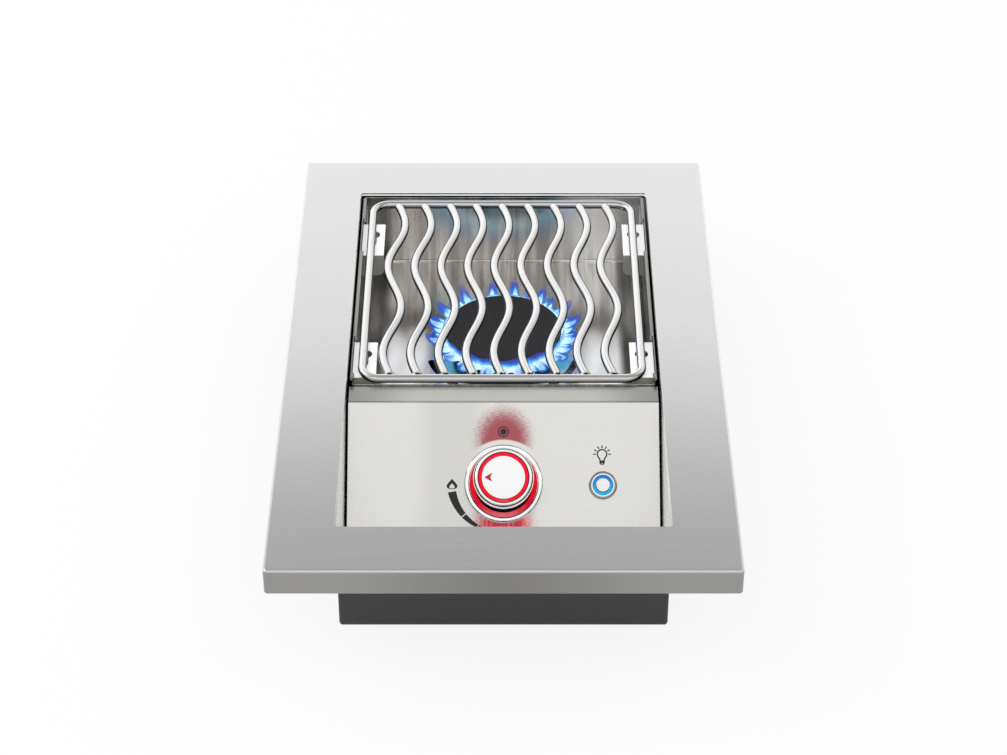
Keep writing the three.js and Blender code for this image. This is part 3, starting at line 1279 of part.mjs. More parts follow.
function batteryCell() {
  const outline = [
    [0, 0],
    [BATTERY_RADIUS, 0],
    [BATTERY_RADIUS, BATTERY_LENGTH],
    [BATTERY_NUB_RADIUS, BATTERY_LENGTH],
    [BATTERY_NUB_RADIUS, BATTERY_LENGTH + BATTERY_NUB_LENGTH],
    [0, BATTERY_LENGTH + BATTERY_NUB_LENGTH],
  ];
  const back = PAN_FRONT - TRAY_GAP_TO_PAN - TRAY_WALL - SEAT;
  const bottom = FLOOR + SEAT + TRAY_WALL + SEAT + BATTERY_RADIUS;
  const length = BATTERY_LENGTH + BATTERY_NUB_LENGTH;
  return alongY(turned(outline, ROUND)).translate(-TRAY_PLACE, back - length, bottom);
}

add('battery_holder', batteryTray(), blackPlastic);
add('battery', batteryCell(), batteryWrap);

// Push button with its lit ring
const onButton = new THREE.Group();
onButton.position.set(BUTTON_PLACE_ACROSS, -BUTTON_PLACE_DOWN, 0);
onPanel.add(onButton);
const buttonTop = SEAT + BUTTON_FLANGE;
const barrelEnd = -BARREL_LENGTH;
const ringFloor = buttonTop - BUTTON_RING_THICKNESS - SEAT;
const plungerTop = buttonTop + PLUNGER_PROUD;
const plungerBottom = plungerTop - PLUNGER_LENGTH;

function buttonHousing() {
  const outline = [
    [0, barrelEnd],
    [BARREL_RADIUS, barrelEnd],
    [BARREL_RADIUS, SEAT],
    [BUTTON_RADIUS, SEAT],
    [BUTTON_RADIUS, buttonTop - BUTTON_BEVEL],
    [BUTTON_RADIUS - BUTTON_BEVEL, buttonTop],
    [BUTTON_RING_OUTER + RUNNING_GAP, buttonTop],
    [BUTTON_RING_OUTER + RUNNING_GAP, ringFloor],
    [PLUNGER_RADIUS + RUNNING_GAP, ringFloor],
    [PLUNGER_RADIUS + RUNNING_GAP, plungerBottom - BUTTON_TRAVEL - SEAT],
    [0, plungerBottom - BUTTON_TRAVEL - SEAT],
  ];
  return turned(outline, ROUND);
}

// The lead from the button's back end, over the module and into the module's back face
function lightLead() {
  const start = panelPlace(...buttonSpot, barrelEnd - SEAT);
  const overHeight = FLOOR + SEAT + MODULE_HEIGHT + LEAD_RADIUS + SEAT;
  const over = start.clone().addScaledVector(outOfPanel, (overHeight - start.z) / outOfPanel.z);
  const behind = over.clone().setY(moduleBack + LIGHT_LEAD_OVERHANG);
  const below = behind.clone().setZ(LIGHT_LEAD_HEIGHT);
  const end = below.clone().setY(moduleBack + SEAT);
  const route = roundedRoute([start, over, behind, below, end], LIGHT_LEAD_BEND);
  return barAlong(route, LEAD_RADIUS, LEAD_SIDES);
}

const buttonRingBottom = ringFloor + SEAT;
add('button_housing', buttonHousing(), brightSteel, onButton);
add('button_light_ring',
  ring(BUTTON_RING_INNER + RUNNING_GAP, BUTTON_RING_OUTER, buttonRingBottom, buttonTop, ROUND),
  blueLight, onButton);
add('button_plunger', rod(PLUNGER_RADIUS, plungerBottom, plungerTop), brightSteel, onButton);
add('button_nut',
  hexNut(BUTTON_NUT_FLATS, BARREL_RADIUS + RUNNING_GAP, valveFace - BUTTON_NUT_HEIGHT, valveFace),
  brightSteel, onButton);
add('light_lead', lightLead(), rubber);

export default sideBurner;
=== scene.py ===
# %% [markdown]
# # A built in side burner
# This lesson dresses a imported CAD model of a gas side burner, the kind that drops into the worktop of an
# outdoor kitchen. The CAD gives every size and every moving body. Here each visible part gets its folds,
# its fine edges and its finish. The frame is loaded first, so that a new piece goes where the CAD says.

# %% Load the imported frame
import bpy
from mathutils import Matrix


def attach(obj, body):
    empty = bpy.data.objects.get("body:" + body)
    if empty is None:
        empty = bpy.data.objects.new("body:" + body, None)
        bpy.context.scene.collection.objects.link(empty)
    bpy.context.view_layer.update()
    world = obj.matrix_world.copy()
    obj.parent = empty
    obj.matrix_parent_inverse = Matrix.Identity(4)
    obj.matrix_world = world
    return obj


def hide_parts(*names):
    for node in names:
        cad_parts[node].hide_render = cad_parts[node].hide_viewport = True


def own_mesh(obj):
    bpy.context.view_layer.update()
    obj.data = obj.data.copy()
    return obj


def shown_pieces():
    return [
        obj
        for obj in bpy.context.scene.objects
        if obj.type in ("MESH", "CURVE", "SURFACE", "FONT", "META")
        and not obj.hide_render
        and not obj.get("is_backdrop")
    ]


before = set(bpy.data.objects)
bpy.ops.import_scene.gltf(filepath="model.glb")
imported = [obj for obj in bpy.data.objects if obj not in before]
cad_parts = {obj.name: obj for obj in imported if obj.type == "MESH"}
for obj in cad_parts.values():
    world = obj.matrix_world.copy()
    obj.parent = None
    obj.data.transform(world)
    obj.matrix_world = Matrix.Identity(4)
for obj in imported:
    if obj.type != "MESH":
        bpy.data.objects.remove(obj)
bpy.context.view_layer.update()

# %% [markdown]
# ## Millimetres, and one way to make a piece
# The drawings of sheet metal are in millimetres and Blender works in metres, so one value joins the two.
# A piece is a list of points and faces. Welding doubled points and turning the faces outward makes it a clean
# closed mesh, and marking the edges that are sharper than an angle keeps folds crisp while round parts stay
# smooth. Each piece rides on a CAD body, and takes the finish it is given.

# %% A piece from points and faces
import math

import bmesh
import bpy
from mathutils import Matrix, Vector

MM = 0.001
ORIGIN = Matrix.Identity(4)


def tidy_mesh(mesh, crisp):
    """Welds doubled points, turns the faces outward and shades smooth up to an angle."""
    work = bmesh.new()
    work.from_mesh(mesh)
    bmesh.ops.remove_doubles(work, verts=work.verts, dist=0.005 * MM)
    bmesh.ops.recalc_face_normals(work, faces=work.faces)
    work.to_mesh(mesh)
    work.free()
    mesh.shade_smooth()
    mesh.set_sharp_from_angle(angle=math.radians(crisp))


def piece(name, shape, finish, place=ORIGIN, body="burner_unit", crisp=32):
    points, faces = shape
    mesh = bpy.data.meshes.new(name)
    mesh.from_pydata([place @ Vector(point) for point in points], [], faces)
    mesh.transform(Matrix.Scale(MM, 4))
    tidy_mesh(mesh, crisp)
    made = bpy.data.objects.new(name, mesh)
    bpy.context.collection.objects.link(made)
    mesh.materials.append(finish)
    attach(made, body)
    return made


def together(*shapes):
    """One shape from several."""
    points, faces = [], []
    for some_points, some_faces in shapes:
        start = len(points)
        points += list(some_points)
        faces += [tuple(start + i for i in face) for face in some_faces]
    return points, faces


def moved(shape, x=0, y=0, z=0, turn=ORIGIN):
    """A shape turned about the origin and then shifted."""
    there = Matrix.Translation((x, y, z)) @ turn
    return [tuple(there @ Vector(point)) for point in shape[0]], shape[1]


print("one millimetre is", MM, "m")

# %% [markdown]
# ## Lofts, turned shapes and bars
# Nearly everything here is a row of rings of points joined one to the next: a folded tray is a row of
# rounded rectangles, a knob is a row of circles, and a bent rod is a row of small circles along a route.
# So one loft function carries the whole object, and each kind of part only says how its rings run.

# %% The loft and the rings it joins
def loft(rings, joined=False):
    """Faces from each ring of points to the next, with end caps unless the last meets the first."""
    count = len(rings[0])
    points = [point for ring in rings for point in ring]
    faces = []
    for i in range(len(rings) if joined else len(rings) - 1):
        a, b = i * count, (i + 1) % len(rings) * count
        for k in range(count):
            n = (k + 1) % count
            faces.append((a + k, a + n, b + n, b + k))
    if not joined:
        faces += [tuple(range(count))[::-1], tuple(range(len(points) - count, len(points)))]
    return points, faces


def plan_ring(half_x, half_y, corner, z, middle_y=0, steps=6):
    """A rounded rectangle in plan."""
    ring = []
    for quarter, (side_x, side_y) in enumerate([(1, 1), (-1, 1), (-1, -1), (1, -1)]):
        for k in range(steps + 1):
            angle = math.radians(90) * (quarter + k / steps)
            x = side_x * (half_x - corner) + corner * math.cos(angle)
            y = side_y * (half_y - corner) + corner * math.sin(angle)
            ring.append((x, middle_y + y, z))
    return ring


def round_ring(radius, z, sides=96):
    """A circle in plan."""
    turns = [2 * math.pi * k / sides for k in range(sides)]
    return [(radius * math.cos(a), radius * math.sin(a), z) for a in turns]


def turned(outline, sides=96):
    """A closed solid turned about Z from (radius, height) points. An outline that starts off the axis
    is a ring, so its last point meets its first."""
    return loft([round_ring(r, z, sides) for r, z in outline], joined=outline[0][0] > 0)


def softened(outline, radius, steps=4, closed=True):
    """The same outline with each of its corners rounded by up to the given radius."""
    soft = []
    count = len(outline)
    for i, corner in enumerate(outline):
        here = Vector(corner)
        if not closed and i in (0, count - 1):
            soft.append(tuple(here))
            continue
        before, after = Vector(outline[i - 1]) - here, Vector(outline[(i + 1) % count]) - here
        reach = min(radius, before.length * 0.45, after.length * 0.45)
        start, end = here + before.normalized() * reach, here + after.normalized() * reach
        for k in range(steps + 1):
            t = k / steps
            soft.append(tuple(start * (1 - t) ** 2 + here * 2 * t * (1 - t) + end * t ** 2))
    return soft


def bar(route, radius, sides=24, loop=False, flat=1.0):
    """A rod along a route of points. Radius is one value, or one for each point."""
    route = [Vector(point) for point in route]
    radii = radius if isinstance(radius, (list, tuple)) else [radius] * len(route)
    rings, aside = [], None
    for i, point in enumerate(route):
        before = route[i - 1] if loop or i else point
        after = route[(i + 1) % len(route)] if loop or i < len(route) - 1 else point
        along = ((point - before).normalized() + (after - point).normalized()).normalized()
        if aside is None:
            helper = Vector((0, 0, 1)) if abs(along.z) < 0.9 else Vector((1, 0, 0))
            aside = along.cross(helper).normalized()
        aside = (aside - along * aside.dot(along)).normalized()
        up = aside.cross(along).normalized()
        ring = []
        for k in range(sides):
            angle = 2 * math.pi * k / sides
            offset = aside * math.cos(angle) + up * flat * math.sin(angle)
            ring.append(tuple(point + offset * radii[i]))
        rings.append(ring)
    return loft(rings, joined=loop)


def pulled(outline, start, end, axis="x"):
    """A flat outline pulled straight along one axis. The outline is drawn on the other two."""
    order = {"x": (2, 0, 1), "y": (0, 2, 1), "z": (0, 1, 2)}[axis]
    return loft([[tuple((a, b, d)[i] for i in order) for a, b in outline] for d in (start, end)])


print("a turned ring has", len(turned([(2, 0), (3, 0), (3, 1), (2, 1)])[1]), "faces")

# %% [markdown]
# ## Holes, bevels and a second finish
# Sheet metal is punched, so holes are cut with the boolean modifier after the folded shape is made, and
# the modifier is applied at once. A tiny bevel catches the light as a real cut edge does. A painted
# outside and a bare inside are one sheet, so a test on each face gives it the second finish.

# %% Carve, bevel and paint
def settled(made, crisp=32):
    """Bakes the modifiers of a piece into its mesh."""
    graph = bpy.context.evaluated_depsgraph_get()
    baked = bpy.data.meshes.new_from_object(made.evaluated_get(graph), depsgraph=graph)
    made.modifiers.clear()
    made.data = baked
    baked.shade_smooth()
    baked.set_sharp_from_angle(angle=math.radians(crisp))


def carve(made, cutters, how="DIFFERENCE", crisp=32):
    for shape in cutters:
        mesh = bpy.data.meshes.new("cutter")
        mesh.from_pydata([Vector(point) * MM for point in shape[0]], [], shape[1])
        tidy_mesh(mesh, crisp)
        tool = bpy.data.objects.new("cutter", mesh)
        bpy.context.collection.objects.link(tool)
        step = made.modifiers.new("carve", "BOOLEAN")
        step.operation, step.object, step.solver = how, tool, "EXACT"
        settled(made, crisp)
        bpy.data.objects.remove(tool)


def bevel(made, width, crisp=32):
    step = made.modifiers.new("edge", "BEVEL")
    step.width, step.segments = width * MM, 2
    step.limit_method, step.angle_limit = "ANGLE", math.radians(40)
    settled(made, crisp)


def paint(made, finish, test):
    """Gives a second finish to the faces whose middle, in millimetres, and normal pass a test."""
    made.data.materials.append(finish)
    count = 0
    for face in made.data.polygons:
        if test(face.center / MM, face.normal):
            face.material_index = len(made.data.materials) - 1
            count += 1
    print(made.name, "has", count, "faces in", finish.name)


def slot_cutter(x, y, half_length, half_width, z0, z1):
    """A slot along X with round ends, as a solid to cut with."""
    ring = plan_ring(half_length, half_width, half_width, 0)
    return moved(pulled([point[:2] for point in ring], z0, z1, "z"), x, y)


def hole(radius, x, y, z0, z1, sides=32):
    return moved(loft([round_ring(radius, z0, sides), round_ring(radius, z1, sides)]), x, y)


# %% [markdown]
# ## The camera
# The photograph looks down on the burner from the front and above, a little more than 37 degrees below
# the horizon. The edges of the trim frame, whose real sizes are known, run towards one vanishing point,
# and that gives the height, the distance and a lens of about 93 mm on a 36 mm sensor.

# %% Place the camera
eye = bpy.data.cameras.new("studio_camera")
eye.lens = 93.45
eye.sensor_width = 36
camera = bpy.data.objects.new("studio_camera", eye)
camera.location = (0, -1.7257, 1.3784)
camera.rotation_euler = (math.radians(52.8), 0, 0)
bpy.context.collection.objects.link(camera)
bpy.context.scene.camera = camera
bpy.context.scene.view_settings.view_transform = "Standard"
print("camera height in metres", round(camera.location.z, 3))

# %% [markdown]
# ## Nodes and colours
# Materials are node trees. One small function adds a node, sets its properties and sockets and makes its
# links, so each finish below reads as a list of what it is made of. Colours are written as the sRGB hex
# values that a picture editor shows, and one function turns them into the linear values shaders use.

# %% One helper for nodes, one for colours
def colour(code):
    """sRGB hex to linear red, green, blue and alpha."""
    parts = [int(code[i:i + 2], 16) / 255 for i in (1, 3, 5)]
    return [p / 12.92 if p <= 0.04045 else ((p + 0.055) / 1.055) ** 2.4 for p in parts] + [1]


def add(tree, kind, sockets=None, **settings):
    """One node. A socket is named or numbered, and takes a value or another node's output."""
    made = tree.nodes.new(kind)
    for name, value in settings.items():
        setattr(made, name, value)
    for name, value in (sockets or {}).items():
        if isinstance(value, bpy.types.NodeSocket):
            tree.links.new(value, made.inputs[name])
        else:
            made.inputs[name].default_value = value
    return made


def new_material(name):
    material = bpy.data.materials.new(name)
    material.use_nodes = True
    material.node_tree.nodes.clear()
    return material, material.node_tree


def shown(tree, shader):
    """Sends a shader to the material's output."""
    add(tree, "ShaderNodeOutputMaterial", {"Surface": shader.outputs[0]})


def smooth_range(tree, value, start, end, low=0.0, high=1.0):
    """A smooth step from low to high as the value goes from start to end."""
    return add(tree, "ShaderNodeMapRange", {
        "Value": value, "From Min": start, "From Max": end, "To Min": low, "To Max": high},
        interpolation_type="SMOOTHSTEP").outputs[0]


def shades(tree, value, stops):
    """A colour ramp through (position, hex colour or grey value) stops."""
    made = add(tree, "ShaderNodeValToRGB", {0: value})
    ramp = made.color_ramp
    while len(ramp.elements) < len(stops):
        ramp.elements.new(0.5)
    for element, (position, wanted) in zip(ramp.elements, stops):
        element.position = position
        element.color = colour(wanted) if isinstance(wanted, str) else (wanted, wanted, wanted, 1)
    return made.outputs["Color"]


def facing(tree, way):
    """How far the surface turns to a fixed direction of the object, from minus one to one."""
    normal = add(tree, "ShaderNodeNewGeometry").outputs["Normal"]
    return add(tree, "ShaderNodeVectorMath", {0: normal, 1: way}, operation="DOT_PRODUCT").outputs["Value"]


print("mid grey #808080 is", round(colour("#808080")[0], 3), "in linear light")

# %% [markdown]
# ## Studio light
# Brushed steel shows the studio more than itself. The world is an even white room with one soft grey
# flag hung high behind the burner. Seen in the flat trim, the back of the frame mirrors white wall and
# its front mirrors the flag, which gives the steel its slow change of tone. One wide lamp adds a soft
# direction. The flag is placed by direction alone, so it stays put whatever way the camera looks. The
# low walls at the front and the sides are a little greyer, so steel seen from there keeps its tone.

# %% The room, the flag and one soft lamp
FLAG_UP, FLAG_EDGE, FLAG_CORE = math.radians(64), math.radians(29.5), math.radians(22)
FLAG_GREY = 0.36
WALL_WHITE = 0.74
world = bpy.data.worlds.new("white_room")
world.use_nodes = True
bpy.context.scene.world = world
room = world.node_tree
room.nodes.clear()
looking = add(room, "ShaderNodeTexCoord").outputs["Generated"]
flag_way = (0, math.cos(FLAG_UP), math.sin(FLAG_UP))
nearness = add(room, "ShaderNodeVectorMath", {0: looking, 1: flag_way}, operation="DOT_PRODUCT")
brightness = add(room, "ShaderNodeMapRange", {
    "Value": nearness.outputs["Value"], "From Min": math.cos(FLAG_EDGE), "From Max": math.cos(FLAG_CORE),
    "To Min": 1.0, "To Max": FLAG_GREY}, interpolation_type="SMOOTHSTEP")
looking_at = add(room, "ShaderNodeSeparateXYZ", {0: looking}).outputs
low_down = add(room, "ShaderNodeMapRange", {
    "Value": looking_at["Z"], "From Min": 0.62, "From Max": 0.42}, interpolation_type="SMOOTHSTEP")
not_back = add(room, "ShaderNodeMapRange", {
    "Value": looking_at["Y"], "From Min": 0.8, "From Max": 0.45}, interpolation_type="SMOOTHSTEP")
on_wall = add(room, "ShaderNodeMath", {0: low_down.outputs[0], 1: not_back.outputs[0]}, operation="MULTIPLY")
wall = add(room, "ShaderNodeMapRange", {"Value": on_wall.outputs[0], "To Min": 1.0, "To Max": WALL_WHITE})
lit = add(room, "ShaderNodeMath", {0: brightness.outputs["Result"], 1: wall.outputs[0]}, operation="MULTIPLY")
backdrop = add(room, "ShaderNodeBackground", {"Color": (1, 1, 1, 1), "Strength": lit.outputs[0]})
add(room, "ShaderNodeOutputWorld", {"Surface": backdrop.outputs[0]})

softbox = bpy.data.lights.new("softbox", "AREA")
softbox.shape, softbox.size, softbox.size_y, softbox.energy = "RECTANGLE", 1.4, 0.9, 7
lamp = bpy.data.objects.new("softbox", softbox)
lamp.location = (-1.6, 0.15, 1.15)
lamp.rotation_euler = (Vector((0, 0, 0.05)) - lamp.location).to_track_quat("-Z", "Y").to_euler()
bpy.context.collection.objects.link(lamp)
print("flag grey", FLAG_GREY, "lamp watts", softbox.energy)

# %% [markdown]
# ## A plain white floor
# The burner stands on a plain pale floor. Where the camera, a mirror or glass sees it, most of its
# brightness is a fixed white, and the rest is ordinary diffuse white that still takes the burner's soft
# shadow. Light that bounces off it onto the burner comes from the diffuse part alone.

# %% The floor
FLOOR_REACH, FLOOR_GLOW = 4, 0.88
floor_white, tree = new_material("matt_white_floor")
seen = add(tree, "ShaderNodeLightPath")
direct = add(tree, "ShaderNodeMath", {0: seen.outputs["Is Camera Ray"], 1: seen.outputs["Is Glossy Ray"]},
             operation="MAXIMUM")
direct = add(tree, "ShaderNodeMath", {0: direct.outputs[0], 1: seen.outputs["Is Transmission Ray"]},
             operation="MAXIMUM")
share = add(tree, "ShaderNodeMath", {0: direct.outputs[0], 1: FLOOR_GLOW}, operation="MULTIPLY")
matt = add(tree, "ShaderNodeBsdfDiffuse", {"Color": colour("#FDFDFD")})
white = add(tree, "ShaderNodeEmission", {"Color": (1, 1, 1, 1), "Strength": 1})
shown(tree, add(tree, "ShaderNodeMixShader", {0: share.outputs[0], 1: matt.outputs[0], 2: white.outputs[0]}))

ground = bpy.data.meshes.new("floor")
corners = [(x * FLOOR_REACH, y * FLOOR_REACH, 0) for x, y in ((-1, -1), (1, -1), (1, 1), (-1, 1))]
ground.from_pydata(corners, [], [(0, 1, 2, 3)])
ground.materials.append(floor_white)
floor = bpy.data.objects.new("floor", ground)
bpy.context.collection.objects.link(floor)
floor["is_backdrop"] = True
print("floor", 2 * FLOOR_REACH, "m wide")

# %% [markdown]
# ## Brushed stainless steel
# The trim and the control panel are stainless sheet brushed along X with a belt. The belt leaves
# scratches a tenth of a millimetre apart and tens of millimetres long. That is too fine for the picture,
# so they are drawn about a millimetre apart. Noise stretched along the grain sets small changes of tone,
# roughness and height. Metal takes its look from the room, so its metallic value is one.

# %% A finish for brushed sheet
def brushed(name, light, dark, across=0.9, along=70, grain_axes=(0,), roughness=0.27, spread=0.08,
            cloud=0.3, relief=0.05):
    """Sheet with a grain drawn some millimetres apart across it and longer along the grain axes."""
    material, tree = new_material(name)
    place = add(tree, "ShaderNodeTexCoord").outputs["Object"]
    scale = [1 / (across * MM)] * 3
    for axis in grain_axes:
        scale[axis] = 1 / (along * MM)
    stretched = add(tree, "ShaderNodeMapping", {"Vector": place, "Scale": scale})
    grain = add(tree, "ShaderNodeTexNoise", {
        "Vector": stretched.outputs[0], "Scale": 1, "Detail": 3, "Roughness": 0.62})
    clouds = add(tree, "ShaderNodeTexNoise", {"Vector": place, "Scale": 1 / (90 * MM), "Detail": 2})
    even = add(tree, "ShaderNodeMix", {0: cloud, 2: grain.outputs["Fac"], 3: clouds.outputs["Fac"]})
    tone = add(tree, "ShaderNodeMapRange", {"Value": even.outputs[0], "From Min": 0.3, "From Max": 0.7})
    metal = add(tree, "ShaderNodeMix", {
        0: tone.outputs[0], 6: colour(dark), 7: colour(light)}, data_type="RGBA")
    rough = add(tree, "ShaderNodeMapRange", {
        "Value": grain.outputs["Fac"], "To Min": roughness - spread, "To Max": roughness + spread})
    height = add(tree, "ShaderNodeBump", {
        "Height": grain.outputs["Fac"], "Strength": relief, "Distance": 0.04 * MM})
    skin = add(tree, "ShaderNodeBsdfPrincipled", {
        "Base Color": metal.outputs[2], "Metallic": 1, "Roughness": rough.outputs[0],
        "Normal": height.outputs[0]})
    shown(tree, skin)
    return material, tree, skin, metal


bright_steel, *_ = brushed("bright_rolled_steel", "#F4F4F2", "#E6E6E4", across=0.6, along=20, roughness=0.2)
print("grain drawn every 0.9 mm, 70 mm long")

# %% [markdown]
# ## The trim's painted reflection and shade
# The trim is the same brushed sheet, and its downturned lip mirrors the worktop in front of it, which a plain
# white floor does not give. A mask by height paints that reflection on the lip as the grey of a worktop, a little
# deeper at the middle, where the photograph's reflection is deepest. A second mask paints shade on the top, which
# grows darker towards the front.

# %% Brushed trim with a painted lip reflection and painted front shade
trim_steel, tree, skin, metal = brushed("brushed_trim_steel", "#FAFAFA", "#F6F6F6", spread=0.026, relief=0.015)
spot = add(tree, "ShaderNodeSeparateXYZ", {0: add(tree, "ShaderNodeTexCoord").outputs["Object"]})
lip = add(tree, "ShaderNodeMapRange", {
    "Value": spot.outputs["Z"], "From Min": 99.3 * MM, "From Max": 100.6 * MM, "To Min": 1, "To Max": 0},
    interpolation_type="SMOOTHSTEP")
off_middle = add(tree, "ShaderNodeMath", {0: spot.outputs["X"]}, operation="ABSOLUTE")
lip_tone = add(tree, "ShaderNodeMapRange", {
    "Value": off_middle.outputs[0], "From Min": 0, "From Max": 130 * MM, "To Min": 0, "To Max": 1},
    interpolation_type="SMOOTHSTEP")
# Painted reflection: the worktop's grey on the lip, deeper at the middle.
painted_lip_reflection = add(tree, "ShaderNodeMix", {
    0: lip_tone.outputs[0], 6: colour("#858482"), 7: colour("#989795")}, data_type="RGBA")
# Painted shade: the top of the trim grows darker towards the front.
painted_front_shade = add(tree, "ShaderNodeMapRange", {
    "Value": spot.outputs["Y"], "From Min": -270 * MM, "From Max": 40 * MM, "To Min": 0.7, "To Max": 1},
    interpolation_type="SMOOTHSTEP")
painted_top_shade = add(tree, "ShaderNodeVectorMath", {
    0: metal.outputs[2], "Scale": painted_front_shade.outputs[0]}, operation="SCALE")
trim_painted_tone = add(tree, "ShaderNodeMix", {
    0: lip.outputs[0], 6: painted_top_shade.outputs[0], 7: painted_lip_reflection.outputs[2]}, data_type="RGBA")
tree.links.new(trim_painted_tone.outputs[2], skin.inputs["Base Color"])
print("the lip's own tone is whole below", 99.3, "mm")

# %% [markdown]
# ## The burner pan's sheet
# The pan is bright annealed sheet. Its coarse grain, long along Y and Z, is real grain and also paints the soft
# streaks in which it mirrors the rods above it, running away from the eye. Its side walls mirror each other, and
# are painted dark as shade. Blue green patches high on its back wall are a painted reflection of the flames. The
# front corners of its floor and the right of its back wall mirror the white room, which is painted there as white,
# less metal and a faint glow.

# %% Drawn sheet, painted flame reflection and painted bright corners
BURNER_Y = 89.4
# The grain's wide tone also paints the rods' streaky reflection in the pan.
pan_steel, tree, skin, metal = brushed("drawn_sheet_steel", "#FBF8F4", "#B5B0AB", across=8, along=170,
                                       grain_axes=(1, 2), roughness=0.2, spread=0.06, cloud=0.25)
where = add(tree, "ShaderNodeTexCoord").outputs["Object"]
spot = add(tree, "ShaderNodeSeparateXYZ", {0: where}).outputs


def times(tree, *values):
    """The product of several values."""
    result = values[0]
    for value in values[1:]:
        result = add(tree, "ShaderNodeMath", {0: result, 1: value}, operation="MULTIPLY").outputs[0]
    return result


def patch(tree, value, middle, half):
    """One at the middle, falling smoothly to nothing at each side."""
    off = add(tree, "ShaderNodeMath", {0: value, 1: middle * MM}, operation="SUBTRACT").outputs[0]
    off = add(tree, "ShaderNodeMath", {0: off}, operation="ABSOLUTE").outputs[0]
    return smooth_range(tree, off, half * MM, half * 0.35 * MM)


# Painted reflection of the flames: blue green patches high on the back wall.
on_back = smooth_range(tree, spot["Y"], 223 * MM, 225 * MM)
high = smooth_range(tree, spot["Z"], 45 * MM, 92 * MM, 0, 0.6)
patches = [patch(tree, spot["X"], middle, half) for middle, half in ((-52, 17), (-12, 13), (38, 16))]
both = add(tree, "ShaderNodeMath", {0: patches[0], 1: patches[1]}, operation="MAXIMUM").outputs[0]
all_patches = add(tree, "ShaderNodeMath", {0: both, 1: patches[2]}, operation="MAXIMUM").outputs[0]
painted_flame_reflection = times(tree, on_back, high, all_patches)
painted_reflection_colour = add(tree, "ShaderNodeMix", {0: painted_flame_reflection, 6: metal.outputs[2], 7: colour("#93C3C9")}, data_type="RGBA")
aside = add(tree, "ShaderNodeMath", {0: spot["X"]}, operation="ABSOLUTE").outputs[0]
faces_up = smooth_range(tree, facing(tree, (0, 0, 1)), 0.1, 0.4)
low_down = times(tree, faces_up, smooth_range(tree, spot["Z"], 36 * MM, 31 * MM))
# Painted reflection of the white room on the front corners of the floor and the right of the back wall: painted
# white, less metal and a faint glow.
corners = times(tree, low_down, smooth_range(tree, aside, 52 * MM, 82 * MM),
                smooth_range(tree, aside, 106 * MM, 97 * MM), smooth_range(tree, spot["Y"], 135 * MM, 72 * MM))
right_back = times(tree, on_back, smooth_range(tree, spot["X"], 42 * MM, 66 * MM), 0.7)
painted_sky_reflection = add(tree, "ShaderNodeMath", {0: corners, 1: right_back}, operation="MAXIMUM").outputs[0]
painted_reflection_colour = add(tree, "ShaderNodeMix", {
    0: painted_sky_reflection, 6: painted_reflection_colour.outputs[2], 7: colour("#FFFFFF")}, data_type="RGBA")
tree.links.new(smooth_range(tree, corners, 0, 1, 1.0, 0.35), skin.inputs["Metallic"])
# The faint glow of painted light on those places.
glow = add(tree, "ShaderNodeMath", {
    0: times(tree, corners, 0.33), 1: times(tree, right_back, 0.09)}, operation="ADD")
tree.links.new(glow.outputs[0], skin.inputs["Emission Strength"])
print("heat tint starts 45 mm up the back wall")

# %% [markdown]
# ## Painted shade on the walls and a painted blue ring
# The pan's side walls mirror each other, and are painted dark as shade. The tops of its walls, its hems and the
# edge of its floor beside them are darkened with painted shade too. The flame's light on the floor is painted as a
# blue ring round the burner, strongest in front.

# %% Paint shade on the pan's walls and the flame's light on its floor
# Painted shade: the side walls, the tops of the walls, the hems and the floor beside the walls are darkened.
sideways = add(tree, "ShaderNodeMath", {0: facing(tree, (1, 0, 0))}, operation="ABSOLUTE").outputs[0]
painted_wall_shade = smooth_range(tree, sideways, 0.3, 0.8, 1.0, 0.17)
painted_top_shade = smooth_range(tree, spot["Z"], 86 * MM, 94 * MM, 1.0, 0.68)
on_hem = times(tree, smooth_range(tree, aside, 118.6 * MM, 120 * MM),
               smooth_range(tree, spot["Z"], 90 * MM, 94 * MM))
painted_hem_shade = smooth_range(tree, on_hem, 0, 1, 1.0, 0.8)
by_wall = times(tree, low_down, smooth_range(tree, aside, 96 * MM, 106 * MM))
painted_foot_shade = smooth_range(tree, by_wall, 0, 1, 1.0, 0.5)
tone = times(tree, painted_wall_shade, painted_top_shade, painted_hem_shade, painted_foot_shade)
painted_shade_colour = add(tree, "ShaderNodeVectorMath", {0: painted_reflection_colour.outputs[2], "Scale": tone}, operation="SCALE")

# Painted light: the flame's blue ring on the floor round the burner, strongest in front.
centred = add(tree, "ShaderNodeMapping", {
    "Vector": where, "Location": (0, -BURNER_Y * MM, 0), "Scale": (1, 1, 0)}).outputs[0]
from_axis = add(tree, "ShaderNodeVectorMath", {0: centred}, operation="LENGTH").outputs["Value"]
near_burner = smooth_range(tree, from_axis, 70 * MM, 54 * MM)
on_floor = smooth_range(tree, spot["Z"], 33 * MM, 31 * MM)
to_front = smooth_range(tree, spot["Y"], 115 * MM, 70 * MM, 0.3, 0.9)
painted_ring_light = times(tree, faces_up, near_burner, on_floor, to_front)
floor_with_painted_ring = add(tree, "ShaderNodeMix", {
    0: painted_ring_light, 6: painted_shade_colour.outputs[0], 7: colour("#1788AC")}, data_type="RGBA")
tree.links.new(floor_with_painted_ring.outputs[2], skin.inputs["Base Color"])
print("the blue ring reaches 70 mm from the burner's axis")

# %% [markdown]
# ## Plated, painted and cast finishes
# The rest of the metal is simpler. Chrome is a nearly perfect mirror. The outside of the housing is
# dark powder coat, a dielectric with a fine grain like orange peel. The burner cap is matt black
# porcelain enamel over steel, and the burner body is cast aluminium with a sandy skin.

